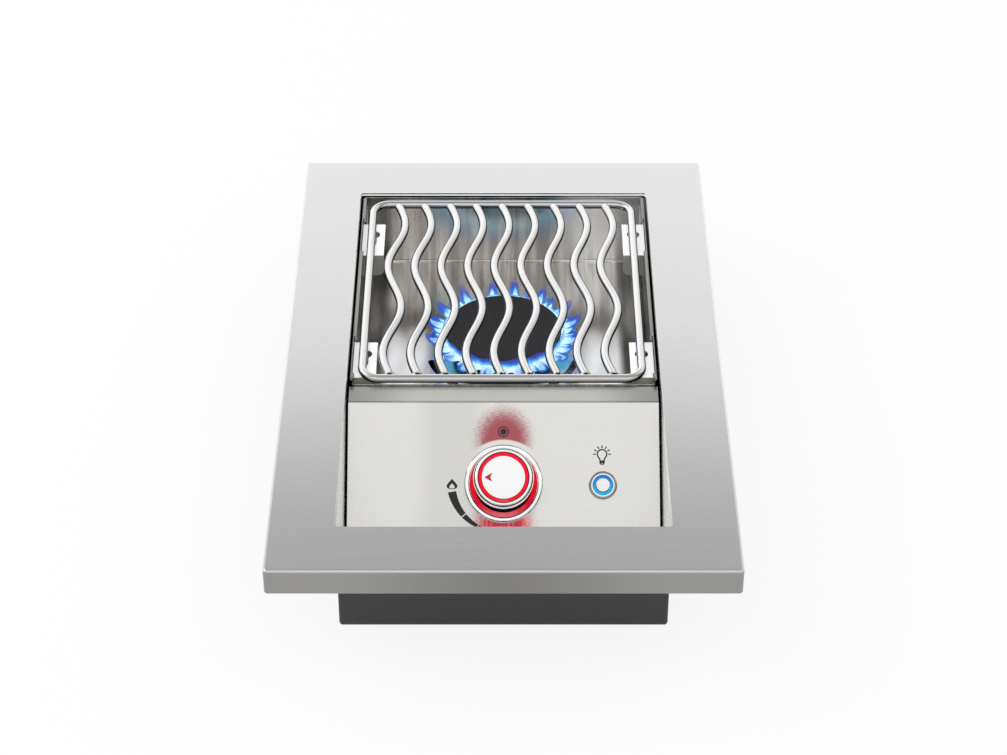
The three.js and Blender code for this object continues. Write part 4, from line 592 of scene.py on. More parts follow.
# %% Chrome, powder coat, enamel and casting
def grained(name, light, dark, grain, roughness, metallic=0.0, depth=0.05, strength=0.3, coat=0.0,
            shine=0.5):
    """A finish with a fine even grain of a real size in millimetres."""
    material, tree = new_material(name)
    place = add(tree, "ShaderNodeTexCoord").outputs["Object"]
    noise = add(tree, "ShaderNodeTexNoise", {"Vector": place, "Scale": 1 / (grain * MM), "Detail": 3})
    tone = add(tree, "ShaderNodeMapRange", {
        "Value": noise.outputs["Fac"], "From Min": 0.35, "From Max": 0.65})
    shade = add(tree, "ShaderNodeMix", {
        0: tone.outputs[0], 6: colour(dark), 7: colour(light)}, data_type="RGBA")
    rough = add(tree, "ShaderNodeMapRange", {
        "Value": noise.outputs["Fac"], "To Min": roughness * 0.85, "To Max": roughness * 1.15})
    relief = add(tree, "ShaderNodeBump", {
        "Height": noise.outputs["Fac"], "Strength": strength, "Distance": depth * MM})
    skin = add(tree, "ShaderNodeBsdfPrincipled", {
        "Base Color": shade.outputs[2], "Metallic": metallic, "Roughness": rough.outputs[0],
        "Coat Weight": coat, "Specular IOR Level": shine, "Normal": relief.outputs[0]})
    shown(tree, skin)
    return material


chrome = grained("chrome_plate", "#FBFBFB", "#F4F4F4", 30, 0.07, metallic=1, strength=0.02)
dark_coat = grained("dark_powder_coat", "#454443", "#3F3E3D", 1.6, 0.5, strength=0.12, shine=0.3)
enamel = grained("black_porcelain_enamel", "#38383B", "#29292C", 1.3, 0.55, strength=0.5)
casting = grained("cast_aluminium", "#B4B4B2", "#94938F", 0.9, 0.5, metallic=1, depth=0.12)
tube_metal = grained("drawn_aluminium_tube", "#D4D5D6", "#C2C3C4", 6, 0.3, metallic=1, strength=0.05)
brass = grained("machined_brass", "#D0AE66", "#BE9950", 2.5, 0.28, metallic=1, strength=0.1)
spring_wire = grained("zinc_plated_spring_wire", "#B9BDC0", "#9DA1A4", 1.2, 0.3, metallic=1)
black_plastic = grained("black_moulded_nylon", "#242426", "#1B1B1D", 0.8, 0.48)
ceramic = grained("glazed_alumina_ceramic", "#F1EDE3", "#E4DFD2", 4, 0.22, coat=0.5, strength=0.05)
rubber = grained("black_silicone_lead", "#2E2E30", "#252527", 1.2, 0.62)
battery_wrap = grained("printed_battery_sleeve", "#70767B", "#646A6F", 5, 0.35, strength=0.03)
# Painted shade: a darker copy of chrome for the bezel's outer groove and the sloped band of the button's flange.
chrome_painted_shade = grained("chrome_with_painted_shade", "#9C9A94", "#6E6D69", 14, 0.2, metallic=1, strength=0.02)
satin_disc = grained("bead_blasted_aluminium", "#FFFFFF", "#F8F8F8", 0.5, 0.34, metallic=1, strength=0.08)
# Painted shade: a near black put on the knob's lower side, face floor and rim groove, and on the bezel ring under
# the knob.
painted_shade_black = grained("painted_shade_black_finish", "#1E2422", "#161A19", 0.9, 0.8, shine=0)
print(len(bpy.data.materials), "finishes so far")

# %% [markdown]
# ## Polished rod and zinc plated tabs
# A polished rod mirrors white sky above, the trim beside it and the dark pan below, so it reads as a
# white line with grey and then nearly black sides. The studio has no dark pan as deep as the real one,
# so a ramp on the way the surface faces sets those shades, and they stay with the rod from every view.
# The bracket tabs are bright zinc plate, which spreads light more than it mirrors. A ramp paints them lighter
# where they face up, and a painted glow there makes them brighter still.

# %% Two metals shaded by the way they face
def turned_away(name, way, stops, roughness, metallic, grain, edge_low=1.0, band=0.0, glow=0.0):
    """A metal whose painted shade follows how it faces one way. It can grow dark at its left and right edges,
    carry one dark band where it turns to the front, and carry a painted glow where it faces up."""
    material, tree = new_material(name)
    place = add(tree, "ShaderNodeTexCoord").outputs["Object"]
    noise = add(tree, "ShaderNodeTexNoise", {
        "Vector": place, "Scale": 1 / (grain * MM), "Detail": 2}).outputs["Fac"]
    uneven = add(tree, "ShaderNodeMath", {
        0: noise, 1: 0.05, 2: facing(tree, way)}, operation="MULTIPLY_ADD").outputs[0]
    sideways = add(tree, "ShaderNodeMath", {0: facing(tree, (1, 0, 0))}, operation="ABSOLUTE").outputs[0]
    edge = smooth_range(tree, sideways, 0.84, 0.99, 1.0, edge_low)
    off_band = add(tree, "ShaderNodeMath", {
        0: facing(tree, (0, -1, 0)), 1: 0.53}, operation="SUBTRACT").outputs[0]
    off_band = add(tree, "ShaderNodeMath", {0: off_band}, operation="ABSOLUTE").outputs[0]
    banded = smooth_range(tree, off_band, 0.08, 0.2, 1 - band, 1.0)
    shade = add(tree, "ShaderNodeVectorMath", {
        0: shades(tree, uneven, stops), "Scale": times(tree, edge, banded)}, operation="SCALE")
    rough = add(tree, "ShaderNodeMapRange", {
        "Value": noise, "To Min": roughness * 0.9, "To Max": roughness * 1.1}).outputs[0]
    painted_top_glow = smooth_range(tree, facing(tree, (0, 0, 1)), 0.6, 0.9, 0, glow)
    skin = add(tree, "ShaderNodeBsdfPrincipled", {
        "Base Color": shade.outputs[0], "Metallic": metallic, "Roughness": rough,
        "Emission Color": (1, 1, 1, 1), "Emission Strength": painted_top_glow})
    shown(tree, skin)
    return material


# Painted reflection: the rod's shades by facing, dark at its left and right edges and in one band.
grate_rod = turned_away("polished_stainless_rod", (-0.3, -0.1, 1), [
    (0.0, "#42413F"), (0.08, "#888785"), (0.24, "#AAA9A7"), (0.37, "#C6C5C4"), (0.65, "#D6D5D4"),
    (0.87, "#E3E3E2"), (0.95, "#EFEFEE"), (1.0, "#FCFCFB")], 0.16, 1.0, 9, edge_low=0.3, band=0.6)
# Painted shade and light: the tabs are lighter where they face up, and a painted glow there brightens them.
zinc_plate = turned_away("zinc_plated_sheet", (0, 0, 1), [
    (0.0, "#D2CFC2"), (0.6, "#FAFAF8"), (0.9, "#FFFFFF")], 0.6, 0.0, 5, glow=0.42)
print("rod shades run from", "#42413F", "to", "#FCFCFB")

# %% [markdown]
# ## Lit rings and printed marks
# Behind each lit ring is a diode, and the ring is a milky plastic that spreads its light. Emission near
# a half keeps its hue, where a stronger one would wash out to white. The marks are thin pads of ink.

# %% Red light, blue light and ink
def lit_ring(name, stops, strength, way, reach, grain=5):
    """A milky ring lit from below, whose hue changes along one direction over a reach in millimetres."""
    material, tree = new_material(name)
    place = add(tree, "ShaderNodeTexCoord").outputs["Object"]
    along = add(tree, "ShaderNodeVectorMath", {0: place, 1: way}, operation="DOT_PRODUCT").outputs["Value"]
    along = add(tree, "ShaderNodeMapRange", {
        "Value": along, "From Min": reach[0] * MM, "From Max": reach[1] * MM}).outputs[0]
    noise = add(tree, "ShaderNodeTexNoise", {
        "Vector": place, "Scale": 1 / (grain * MM), "Detail": 1}).outputs["Fac"]
    uneven = add(tree, "ShaderNodeMath", {0: noise, 1: 0.15, 2: along}, operation="MULTIPLY_ADD").outputs[0]
    glow = shades(tree, uneven, stops)
    skin = add(tree, "ShaderNodeBsdfPrincipled", {
        "Base Color": glow, "Roughness": 0.4, "Specular IOR Level": 0.12, "Emission Color": glow,
        "Emission Strength": strength})
    shown(tree, skin)
    return material


DOWN_SLOPE = (0, -0.749, -0.663)
red_light = lit_ring("red_lit_diffuser", [
    (0.1, "#EA0E2C"), (0.5, "#E80A26"), (0.66, "#DC1028"), (0.76, "#E04458"), (0.86, "#EC7482")],
    0.5, DOWN_SLOPE, (35, 95))
blue_light = lit_ring("blue_lit_diffuser", [
    (0.3, "#1674C8"), (0.55, "#1888D2"), (0.85, "#1EA6DC")], 0.45, DOWN_SLOPE, (44, 64))
ink = grained("dark_pad_print_ink", "#2B2D2D", "#222424", 0.7, 0.6, strength=0.1)
red_ink = grained("red_pad_print_ink", "#E21A3C", "#D41233", 0.7, 0.4, strength=0.05)
print(len(bpy.data.materials), "finishes now")

# %% [markdown]
# ## Trim frame
# The frame is one sheet folded over the edge of the worktop: a flat border, a two millimetre bend, a lip
# and a short return inward. Its section runs round a rounded rectangle, so the section's points become
# rings, each set in from the outer edge by its own amount. The last ring meets the first and closes it.

# %% Fold the trim frame
FRAME_X, FRAME_Y, TOP = 177.8, 279.4, 101.6
LIP_BOTTOM = 79.2


def bend(inset, height, radius, up=-1, steps=8):
    """A quarter round as inset and height, from a flat top down to the outer face or from a floor up."""
    quarter = [math.pi / 2 * k / steps for k in range(steps + 1)]
    return [(inset + radius * (1 - math.sin(a)), height + up * radius * (1 - math.cos(a))) for a in quarter]


trim_section = [(50.8, TOP - 0.35), (50.45, TOP)] + bend(0, TOP, 2)
trim_section += [(0, LIP_BOTTOM + 0.4), (0.4, LIP_BOTTOM), (12, LIP_BOTTOM), (12, LIP_BOTTOM + 1)]
trim_section += [(1, LIP_BOTTOM + 1)] + bend(1, TOP - 1, 1)[::-1] + [(50.8, TOP - 1)]
trim_rings = [plan_ring(FRAME_X - inset, FRAME_Y - inset, 2.6 if inset > 45 else max(3.4 - inset, 0.6), z)
              for inset, z in trim_section]
trim = piece("trim_border", loft(trim_rings, joined=True), trim_steel)

stud_places = [(side * 140.2, row * 189.9) for side in (-1, 1) for row in (-1, 0, 1)]
thread = [(0, TOP - 10), (2.0, TOP - 10)]
thread += [(2.4 if k % 2 else 2.05, TOP - 9.6 + 0.4 * k) for k in range(22)] + [(2.4, TOP - 0.6), (0, TOP - 0.6)]
piece("trim_studs", together(*[moved(turned(thread, 24), x, y) for x, y in stud_places]),
      bright_steel, crisp=60)
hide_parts("trim_frame")
print("trim border", len(trim.data.polygons), "faces,", len(stud_places), "studs")

# %% [markdown]
# ## Outer housing
# The housing is a deep tray, hung from the trim by a flange. Its bottom folds have a small radius that
# the photograph shows at the lower corners. Outside it is dark powder coat and inside it is bare bright
# sheet. The floor has two rows of air slots, screw holes and, in the back wall, the gas inlet's hole.

# %% Fold and punch the housing
HOUSE_X, HOUSE_Y, FLANGE_TOP = 127.2, 228.8, 100.3
outer = bend(0, 0, 3.4, 1, 6) + [(0, 98.2), (-0.3, 99.1), (-1.3, 99.5), (-24, 99.5), (-24, FLANGE_TOP)]
inner = [(-1.2, FLANGE_TOP), (0.1, 99.9), (0.8, 98.9)] + bend(0.8, 0.8, 2.6, 1, 6)[::-1]
house_rings = [plan_ring(HOUSE_X - inset, HOUSE_Y - inset, max(2.6 - inset, 0.5) if inset > -2 else 4, z)
               for inset, z in outer + inner]
house = piece("housing_tray", loft(house_rings), dark_coat)
vents = [slot_cutter((i - 1.5) * 52, -HOUSE_Y + 17, 18, 3, -2, 3) for i in range(4)]
vents += [slot_cutter((i - 1) * 52, HOUSE_Y - 64, 18, 3, -2, 3) for i in range(3)]
punched = [hole(2.3, side * 84, -176.9, -2, 3) for side in (-1, 1)]
punched += [hole(2.7, x, y, 97, 103) for x, y in stud_places]
inlet_turn = Matrix.Rotation(-math.pi / 2, 4, "X")
punched.append(moved(hole(8.3, 0, 0, -3, 3, 48), -60, 228.4, 14, inlet_turn))
carve(house, [together(*vents), together(*punched)])
paint(house, bright_steel, lambda spot, way: spot.z > 100 or (
    spot.z > 0.7 and (way.z > 0.3 or way.x * spot.x + way.y * spot.y < -1)))
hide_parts("outer_housing")

# %% [markdown]
# ## Burner pan
# The pan is a smaller tray that holds the burner. Its front wall is lower than the rest, to pass under
# the ledge of the control panel. Rolled hems stiffen its side walls before, between and behind the
# brackets, and a narrow lip runs along its back. Two arcs in its floor let air up to the flame.

# %% Fold and punch the pan
PAN_X, PAN_FRONT, PAN_BACK, PAN_FLOOR, PAN_TOP = 124.4, -43.8, 226.0, 30.1, 98.6
pan_middle, pan_half = (PAN_BACK + PAN_FRONT) / 2, (PAN_BACK - PAN_FRONT) / 2
pan_section = bend(0, PAN_FLOOR - 0.8, 3.2, 1, 6) + [(0, PAN_TOP - 0.15), (0.15, PAN_TOP)]
pan_section += [(0.65, PAN_TOP), (0.8, PAN_TOP - 0.15)] + bend(0.8, PAN_FLOOR, 2.4, 1, 6)[::-1]
pan_rings = []
for inset, z in pan_section:
    ring = plan_ring(PAN_X - inset, pan_half - inset, 3 - min(inset, 2.2), z, middle_y=pan_middle)
    low = [(x, y, z - 4.2 if z > 90 and y < PAN_FRONT + 1 and abs(x) < 121.6 else z) for x, y, z in ring]
    pan_rings.append(low)
hem = softened([(PAN_X - 0.2, PAN_TOP), (PAN_X - 0.2, PAN_TOP - 3.6), (PAN_X - 3.2, PAN_TOP - 3.6),
                (PAN_X - 3.2, PAN_TOP)], 1.1, 5)
runs = ((PAN_FRONT + 3, -33), (17, 142), (192, PAN_BACK - 0.6))
hems = [pulled([(side * x, z) for x, z in hem], start, end, "y") for side in (-1, 1) for start, end in runs]
LIP_ROOT, LIP_END = PAN_BACK - 0.3, 227.7
back_lip = softened([(LIP_ROOT, PAN_TOP), (LIP_END, PAN_TOP), (LIP_END, PAN_TOP - 1.4),
                     (LIP_ROOT, PAN_TOP - 1.4)], 0.4, 3)
hems.append(pulled(back_lip, -PAN_X + 3, PAN_X - 3, "x"))
pan = piece("pan_tray", together(loft(pan_rings), *hems), pan_steel)


def air_arc(middle_angle, half_angle=75, radius=64, half_width=3, steps=40):
    """A curved slot with round ends, round the burner's axis."""
    outline = []
    for way in (1, -1):
        for k in range(steps + 1):
            a = math.radians(middle_angle + way * half_angle * (2 * k / steps - 1))
            r = radius + way * half_width
            outline.append((r * math.cos(a), r * math.sin(a)))
        turn = 0 if way > 0 else math.pi
        for k in range(1, 8):
            b = a + turn + math.pi * k / 8
            outline.append((radius * math.cos(a) + half_width * math.cos(b),
                            radius * math.sin(a) + half_width * math.sin(b)))
    return moved(pulled(outline, PAN_FLOOR - 4, PAN_FLOOR + 3, "z"), 0, BURNER_Y)


IGNITER = (-8.07, 146.84)
floor_holes = [hole(12, 0, BURNER_Y, 26, 34, 64), hole(3.5, *IGNITER, 26, 34)]
floor_holes += [hole(2.3, side * 22, BURNER_Y, 26, 34) for side in (-1, 1)]
wall_holes = [moved(hole(2.3, 0, 0, -3, 3), side * 96, -43.4, 81.6, inlet_turn) for side in (-1, 1)]
carve(pan, [together(*floor_holes, *wall_holes), air_arc(-90), air_arc(90)])
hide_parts("burner_pan")
print("pan floor at", PAN_FLOOR, "mm,", len(pan.data.polygons), "faces")

# %% [markdown]
# ## Keyhole brackets
# Four folded brackets hang on the pan's side walls and carry the grate. Each has a flat tab with a
# keyhole, a rounded leg down its front and a leg down the wall. The legs are joined to the tab and the
# keyhole is punched, then a fine bevel gives the cut edges their bright line.

# %% Fold four brackets
TAB_TOP, TAB_OUT, TAB_IN, SHEET = 92.8, 123.3, 103.8, 1.5


def bracket(name, node, side, front, back):
    wall = softened([(TAB_OUT, TAB_TOP), (TAB_OUT, TAB_TOP - 21), (TAB_OUT - SHEET, TAB_TOP - 21),
                     (TAB_OUT - SHEET, TAB_TOP - SHEET), (TAB_IN, TAB_TOP - SHEET), (TAB_IN, TAB_TOP)], 0.5)
    leg = [(TAB_OUT - 0.2, TAB_TOP - 0.4), (TAB_IN, TAB_TOP - 0.4), (TAB_IN, TAB_TOP - 15)]
    leg += [(TAB_IN + 6 * (1 - math.cos(a)), TAB_TOP - 15 - 6 * math.sin(a))
            for a in [math.pi / 2 * k / 8 for k in range(1, 9)]]
    leg += [(TAB_OUT - 0.2, TAB_TOP - 21)]
    flip = [(side * x, z) for x, z in wall], [(side * x, z) for x, z in leg]
    made = piece(name, pulled(flip[0], front, back, "y"), zinc_plate)
    carve(made, [pulled(flip[1], front, front + SHEET, "y")], how="UNION")
    middle = side * (TAB_OUT + TAB_IN) / 2
    keyhole = hole(5.5, middle, back - 16, 88, 96, 48)
    slit = slot_cutter(back - 24, -middle, 8, 2.7, 88, 96)
    carve(made, [keyhole, moved(slit, turn=Matrix.Rotation(math.pi / 2, 4, "Z"))])
    bevel(made, 0.22)
    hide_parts(node)


for hand, side in (("left", -1), ("right", 1)):
    bracket(f"keyhole_bracket_rear_{hand}", f"bracket_rear_{hand}", side, 143, 191)
    bracket(f"keyhole_bracket_front_{hand}", f"bracket_front_{hand}", side, -32, 16)
print("keyhole 11 mm wide, slit 5.4 mm")

# %% [markdown]
# ## Cooking grate
# The grate is stainless rod, drawn 7.3 mm thick: a rectangle with bent corners and nine wavy rods welded
# across it. Each wavy rod makes two full waves. Its back end is a ball that rests on the frame rod, and
# its front end is held by a small lumpy weld, which a bumpy ring stands for.

# %% Bend and weld the grate
ROD, ROD_Z, LEFTWARD = 3.65, 96.6, 1.2
GRATE_X, GRATE_FRONT, GRATE_BACK, GRATE_BEND = 113.85, -38.35, 217.15, 14.5
grate_middle, grate_half = (GRATE_BACK + GRATE_FRONT) / 2, (GRATE_BACK - GRATE_FRONT) / 2
loop = [(x - LEFTWARD, y, z)
        for x, y, z in plan_ring(GRATE_X, grate_half, GRATE_BEND, ROD_Z, grate_middle, 14)]
grate_parts = [bar(loop, ROD, 28, loop=True)]
PITCH, SWING, STEPS = 2 * GRATE_X / 10, 6.5, 110
for i in range(1, 10):
    route = []
    back_end, front_end = grate_half - 5.2, -grate_half + 3.0
    for k in range(STEPS + 1):
        y = back_end + (front_end - back_end) * k / STEPS
        swing = SWING * math.sin(2 * math.pi * 2 * (grate_half - ROD - y) / (2 * grate_half - 2 * ROD))
        route.append((i * PITCH - GRATE_X - LEFTWARD + swing - 0.4, grate_middle + y, ROD_Z + 0.4))
    tail = route[0]
    dome = [1.45, 1.2, 0.95, 0.7, 0.45, 0.2]
    ball = [(tail[0], tail[1] + ROD * math.sin(a), tail[2]) for a in dome]
    grate_parts.append(bar(ball + route, [ROD * math.cos(a) for a in dome] + [ROD] * len(route), 28))
    weld = [(route[-1][0] + (ROD + 0.1) * math.cos(a), GRATE_FRONT + ROD - 0.2,
             ROD_Z + (ROD + 0.2) * math.sin(a))
            for a in [2 * math.pi * k / 40 for k in range(40)]]
    lumps = [0.8 + 0.35 * math.sin(5 * k + 2 * i) + 0.25 * math.cos(11 * k + i) for k in range(40)]
    grate_parts.append(bar(weld, lumps, 10, loop=True))
grate = piece("wavy_rod_grate", together(*grate_parts), grate_rod, body="grate", crisp=50)
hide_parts("cooking_grate")
print("rod pitch", round(PITCH, 2), "mm,", len(grate.data.polygons), "faces")

# %% [markdown]
# ## Burner
# The burner is a cast cup, a brass ring with sixteen notches for flame ports, and a loose enamelled cap.
# All three are turned shapes. The cup and ring stay with the housing, and the cap lifts off for cleaning,
# so it rides on its own body.

# %% Turn the cup, the ring and the cap
cup = softened([(10.5, 22.0), (11.7, 22.0), (11.7, 30.4), (32, 30.4), (43, 38.9), (44, 41.0), (40, 41.0),
                (38.6, 39.6), (32, 37.4), (12.8, 37.4), (10.5, 36.0)], 0.5, 3)
burner_cup = piece("cast_burner_cup", moved(turned(cup, 128), 0, BURNER_Y), casting)
carve(burner_cup, [hole(2.3, side * 22, BURNER_Y, 28, 35.2) for side in (-1, 1)])
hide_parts("burner_base")

ring_outline = softened([(40, 41.3), (44, 41.3), (44, 49.0), (40, 49.0)], 0.35, 3)
flame_ring = piece("notched_flame_ring", moved(turned(ring_outline, 192), 0, BURNER_Y), brass)
PORTS = 16
notches = []
for i in range(PORTS // 2):
    blade = loft([[(-48, -1.6, z), (48, -1.6, z), (48, 1.6, z), (-48, 1.6, z)] for z in (45.4, 52)])
    turn = Matrix.Rotation(math.pi * (2 * i + 1) / PORTS, 4, "Z")
    notches.append(moved(blade, 0, BURNER_Y, 0, turn))
carve(flame_ring, notches)
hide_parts("burner_flame_ring")

cap_outline = [(0, 49.3), (38.2, 49.3), (38.3, 46.4), (39.6, 46.4), (39.7, 49.3), (48.8, 49.3), (49.8, 50.0),
               (50, 51.2), (49.8, 52.4), (48.9, 53.4), (46.5, 54.05), (42, 54.3), (0, 54.3)]
burner_lid = piece("enamelled_burner_cap", moved(turned(cap_outline, 160), 0, BURNER_Y), enamel,
                   body="cap")
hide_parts("burner_cap")
print(PORTS, "ports,", len(flame_ring.data.polygons), "faces on the ring")

# %% [markdown]
# ## The slope and what it mirrors
# Everything on the slope is made flat, with Z out of the face, and then tilted with it, so one matrix places the
# knob and another the button. The brushed steel there mirrors the knob's red light as two soft fans, one up and
# one down the slope, torn into streaks by the grain. They are painted reflections, which a mask in the knob's own
# millimetres mixes into the steel. The level ledge above mirrors the grate, so it is darkened with painted shade
# towards its ends, and painted shade also darkens the slope a little to the left of the knob.

# %% Panel steel with two painted red fans and painted shade
FOLD_Y, LEDGE_Z, TILT, PANEL_X = -65.704, 93.6, math.radians(41.5), 124.6
ON_PANEL = Matrix.Translation((0, FOLD_Y, LEDGE_Z)) @ Matrix.Rotation(TILT, 4, "X")
KNOB_Y, BUTTON_X, BUTTON_Y = -66.7, 79.29, -67.8
ON_KNOB = ON_PANEL @ Matrix.Translation((0, KNOB_Y, 0))
ON_BUTTON = ON_PANEL @ Matrix.Translation((BUTTON_X, BUTTON_Y, 0))


def fan(tree, local, grain, middle, half_width, reach, start, strength):
    """How much of a painted fan of reflected light falls on each place of the slope, from nothing to its strength.
    """
    shifted = add(tree, "ShaderNodeMapping", {
        "Vector": local, "Location": (0, -middle / reach, 0), "Scale": (1 / half_width, 1 / reach, 0)})
    edge = add(tree, "ShaderNodeVectorMath", {0: shifted.outputs[0]}, operation="LENGTH").outputs["Value"]
    torn = add(tree, "ShaderNodeMath", {0: grain, 1: 0.9, 2: edge}, operation="MULTIPLY_ADD").outputs[0]
    inside = smooth_range(tree, torn, 1.55, 0.95)
    flat = add(tree, "ShaderNodeMapping", {"Vector": local, "Scale": (1, 1, 0)}).outputs[0]
    radius = add(tree, "ShaderNodeVectorMath", {0: flat}, operation="LENGTH").outputs["Value"]
    past = smooth_range(tree, radius, start - 0.8, start + 0.8)
    above = add(tree, "ShaderNodeSeparateXYZ", {0: local}).outputs["Y"]
    half = smooth_range(tree, above, 0, math.copysign(1, middle))
    return times(tree, inside, past, half, strength)


panel_steel, tree, skin, metal = brushed("brushed_panel_steel", "#E3E2DE", "#E0DFDB", across=1.1, along=45,
                                         spread=0.023, relief=0.012)
local = add(tree, "ShaderNodeMapping", {
    "Vector": add(tree, "ShaderNodeTexCoord").outputs["Object"], "Rotation": (TILT, 0, 0),
    "Location": ON_KNOB.translation * MM, "Scale": (MM, MM, MM)}, vector_type="TEXTURE").outputs[0]
streak = add(tree, "ShaderNodeTexNoise", {
    "Vector": add(tree, "ShaderNodeMapping", {"Vector": local, "Scale": (0.28, 2.0, 0)}).outputs[0],
    "Scale": 1, "Detail": 3, "Roughness": 0.7}).outputs["Fac"]
up_slope = add(tree, "ShaderNodeTexNoise", {
    "Vector": add(tree, "ShaderNodeMapping", {"Vector": local, "Scale": (0.35, 0.03, 0)}).outputs[0],
    "Scale": 1, "Detail": 2, "Roughness": 0.6}).outputs["Fac"]
# Painted reflection: the knob's red light as two fans on the slope.
upper = fan(tree, local, streak, 36, 25, 29, 36, 0.9)
lower = fan(tree, local, streak, -33, 26, 30, 31.5, 1.0)
steel = add(tree, "ShaderNodeMix", {0: upper, 6: metal.outputs[2], 7: colour("#A2343F")}, data_type="RGBA")
fan_red = shades(tree, up_slope, [(0.36, "#A84A56"), (0.5, "#D03048"), (0.64, "#EE7480")])
steel = add(tree, "ShaderNodeMix", {0: lower, 6: steel.outputs[2], 7: fan_red}, data_type="RGBA")
place = add(tree, "ShaderNodeSeparateXYZ", {0: add(tree, "ShaderNodeTexCoord").outputs["Object"]}).outputs
aside = add(tree, "ShaderNodeMath", {0: place["X"]}, operation="ABSOLUTE").outputs[0]
# Painted shade: the ledge darker towards its ends, and the slope a little darker left of the knob.
painted_ledge_shade = smooth_range(tree, aside, 66 * MM, 123 * MM, 1.0, 0.6)
on_ledge = smooth_range(tree, place["Y"], (FOLD_Y - 0.4) * MM, (FOLD_Y + 0.9) * MM)
painted_left_shade = patch(tree, place["X"], -42, 34)
painted_slope_shade = add(tree, "ShaderNodeMath", {0: painted_left_shade, 1: -0.1, 2: 1.0}, operation="MULTIPLY_ADD").outputs[0]
tone = add(tree, "ShaderNodeMix", {0: on_ledge, 2: painted_slope_shade, 3: painted_ledge_shade})
steel = add(tree, "ShaderNodeVectorMath", {0: steel.outputs[2], "Scale": tone.outputs[0]}, operation="SCALE")
tree.links.new(steel.outputs[0], skin.inputs["Base Color"])
print("knob axis in metres", [round(c * MM, 5) for c in ON_KNOB.translation])

# %% [markdown]
# ## Control panel
# One sheet makes the panel: a flange down behind the pan's front wall, the level ledge, the slope that
# carries the knob and a foot on the housing floor. The side view is drawn as a thin folded outline and
# pulled across. Two flanges under its sides stiffen it, and the holes are drilled square to the slope.

# %% Fold the panel
def folded(route, thickness):
    """The outline of a sheet whose outer face follows a route of points, thickness to its left."""
    offset = []
    for i, point in enumerate(route):
        here = Vector(point)
        before = (here - Vector(route[i - 1])).normalized() if i else None
        after = (Vector(route[i + 1]) - here).normalized() if i < len(route) - 1 else None
        along = (before + after).normalized() if before and after else (before or after)
        spread = along.dot(after) if before and after else 1
        offset.append((point[0] - along.y * thickness / spread, point[1] + along.x * thickness / spread))
    return list(route) + offset[::-1]


panel_route = [(-44.1, 69.6), (-44.1, LEDGE_Z), (FOLD_Y, LEDGE_Z), (-168.9, 2.3), (-184.9, 2.3)]
panel_outline = folded(softened(panel_route, 1.7, 6, closed=False), 1.2)
panel = piece("folded_panel", pulled(panel_outline, -PANEL_X, PANEL_X), panel_steel,
              crisp=20)
flange = [(-PANEL_X, -6, -1.0), (-PANEL_X + 1.2, -6, -1.0), (-PANEL_X + 1.2, -124, -1.0), (-PANEL_X, -124, -1.0)]
flange_low = [(x, y, -11.2) for x, y, z in flange]
for side in (-1, 1):
    strip = [[tuple(ON_PANEL @ Vector((side * x, y, z))) for x, y, z in ring] for ring in (flange, flange_low)]
    carve(panel, [loft(strip)], how="UNION", crisp=20)
holes = [(7, 0, KNOB_Y, 64), (8.3, BUTTON_X, BUTTON_Y, 64)]
holes += [(2.3, x, KNOB_Y, 32) for x in (-13, 13)]
drilled = [moved(hole(r, x, y, -4, 2, n), turn=ON_PANEL) for r, x, y, n in holes]
drilled += [hole(2.3, side * 84, -176.9, 0, 5) for side in (-1, 1)]
drilled += [moved(hole(2.3, 0, 0, -3, 3), side * 96, -44.7, 81.6, inlet_turn) for side in (-1, 1)]
carve(panel, [together(*drilled)], crisp=20)
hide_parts("control_panel")
print("slope", round((LEDGE_Z - 2.3) / math.sin(TILT), 1), "mm long")

# %% [markdown]
# ## Screws
# Pan head screws hold the panel. The head is turned, and a cross recess is cut into it. One screw is
# made once as a shape and moved to each place, and each one replaces its plain CAD screw.

# %% Four pan head screws
def screw_shape(head_top, shank_end):
    out = [(0, shank_end), (1.6, shank_end), (2.0, shank_end + 0.4)]
    out += [(2.0, head_top - 1.8), (3.5, head_top - 1.8)]
    dome = [(3.5 * math.cos(a), head_top - 1.1 + 1.1 * math.sin(a)) for a in [0, 0.3, 0.6, 0.9, 1.2]]
    return turned(out + dome + [(0, head_top)], 40)


def screw(name, node, head_top, shank_end, where):
    made = piece(name, moved(screw_shape(head_top, shank_end), turn=where), bright_steel)
    for half_x, half_y in ((2.0, 0.45), (0.45, 2.0)):
        blade = loft([[(-half_x, -half_y, z), (half_x, -half_y, z), (half_x, half_y, z), (-half_x, half_y, z)]
                      for z in (head_top - 0.9, head_top + 1)])
        carve(made, [moved(blade, turn=where)])
    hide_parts(node)


for hand, side in (("left", -1), ("right", 1)):
    screw(f"foot_cross_screw_{hand}", f"foot_screw_{hand}", 4.4, 0.2, Matrix.Translation((side * 84, -176.9, 0)))
    on_wall = Matrix.Translation((side * 96, -43.8, 81.6)) @ inlet_turn
    screw(f"panel_cross_screw_{hand}", f"panel_screw_{hand}", 2.9, -6, on_wall)

# %% [markdown]
# ## Knob, bezel and their light
# A chromed bezel sits on the slope with a milky ring in its floor, lit red from below. The knob stands
# above it on the valve's stem. Its face is a recess with a second lit ring and a satin disc. The knob
# and its rings ride on the turning body, and the bezel and its ring stay with the housing.

# %% Turn the bezel, its ring, the knob and its face
bezel_rim = [(27.3, 5.1), (27.7, 5.55), (28.6, 5.7), (30.2, 5.5), (30.8, 5.0), (30.95, 4.3), (31.3, 4.3),
             (31.35, 4.6), (31.55, 4.6), (31.7, 4.3), (31.7, 0.3)]
bezel_outline = [(7.5, 0.3), (7.5, 3.2), (27.3, 3.2)] + bezel_rim
bezel = piece("chromed_bezel", turned(bezel_outline, 160), chrome, place=ON_KNOB)
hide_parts("knob_bezel")


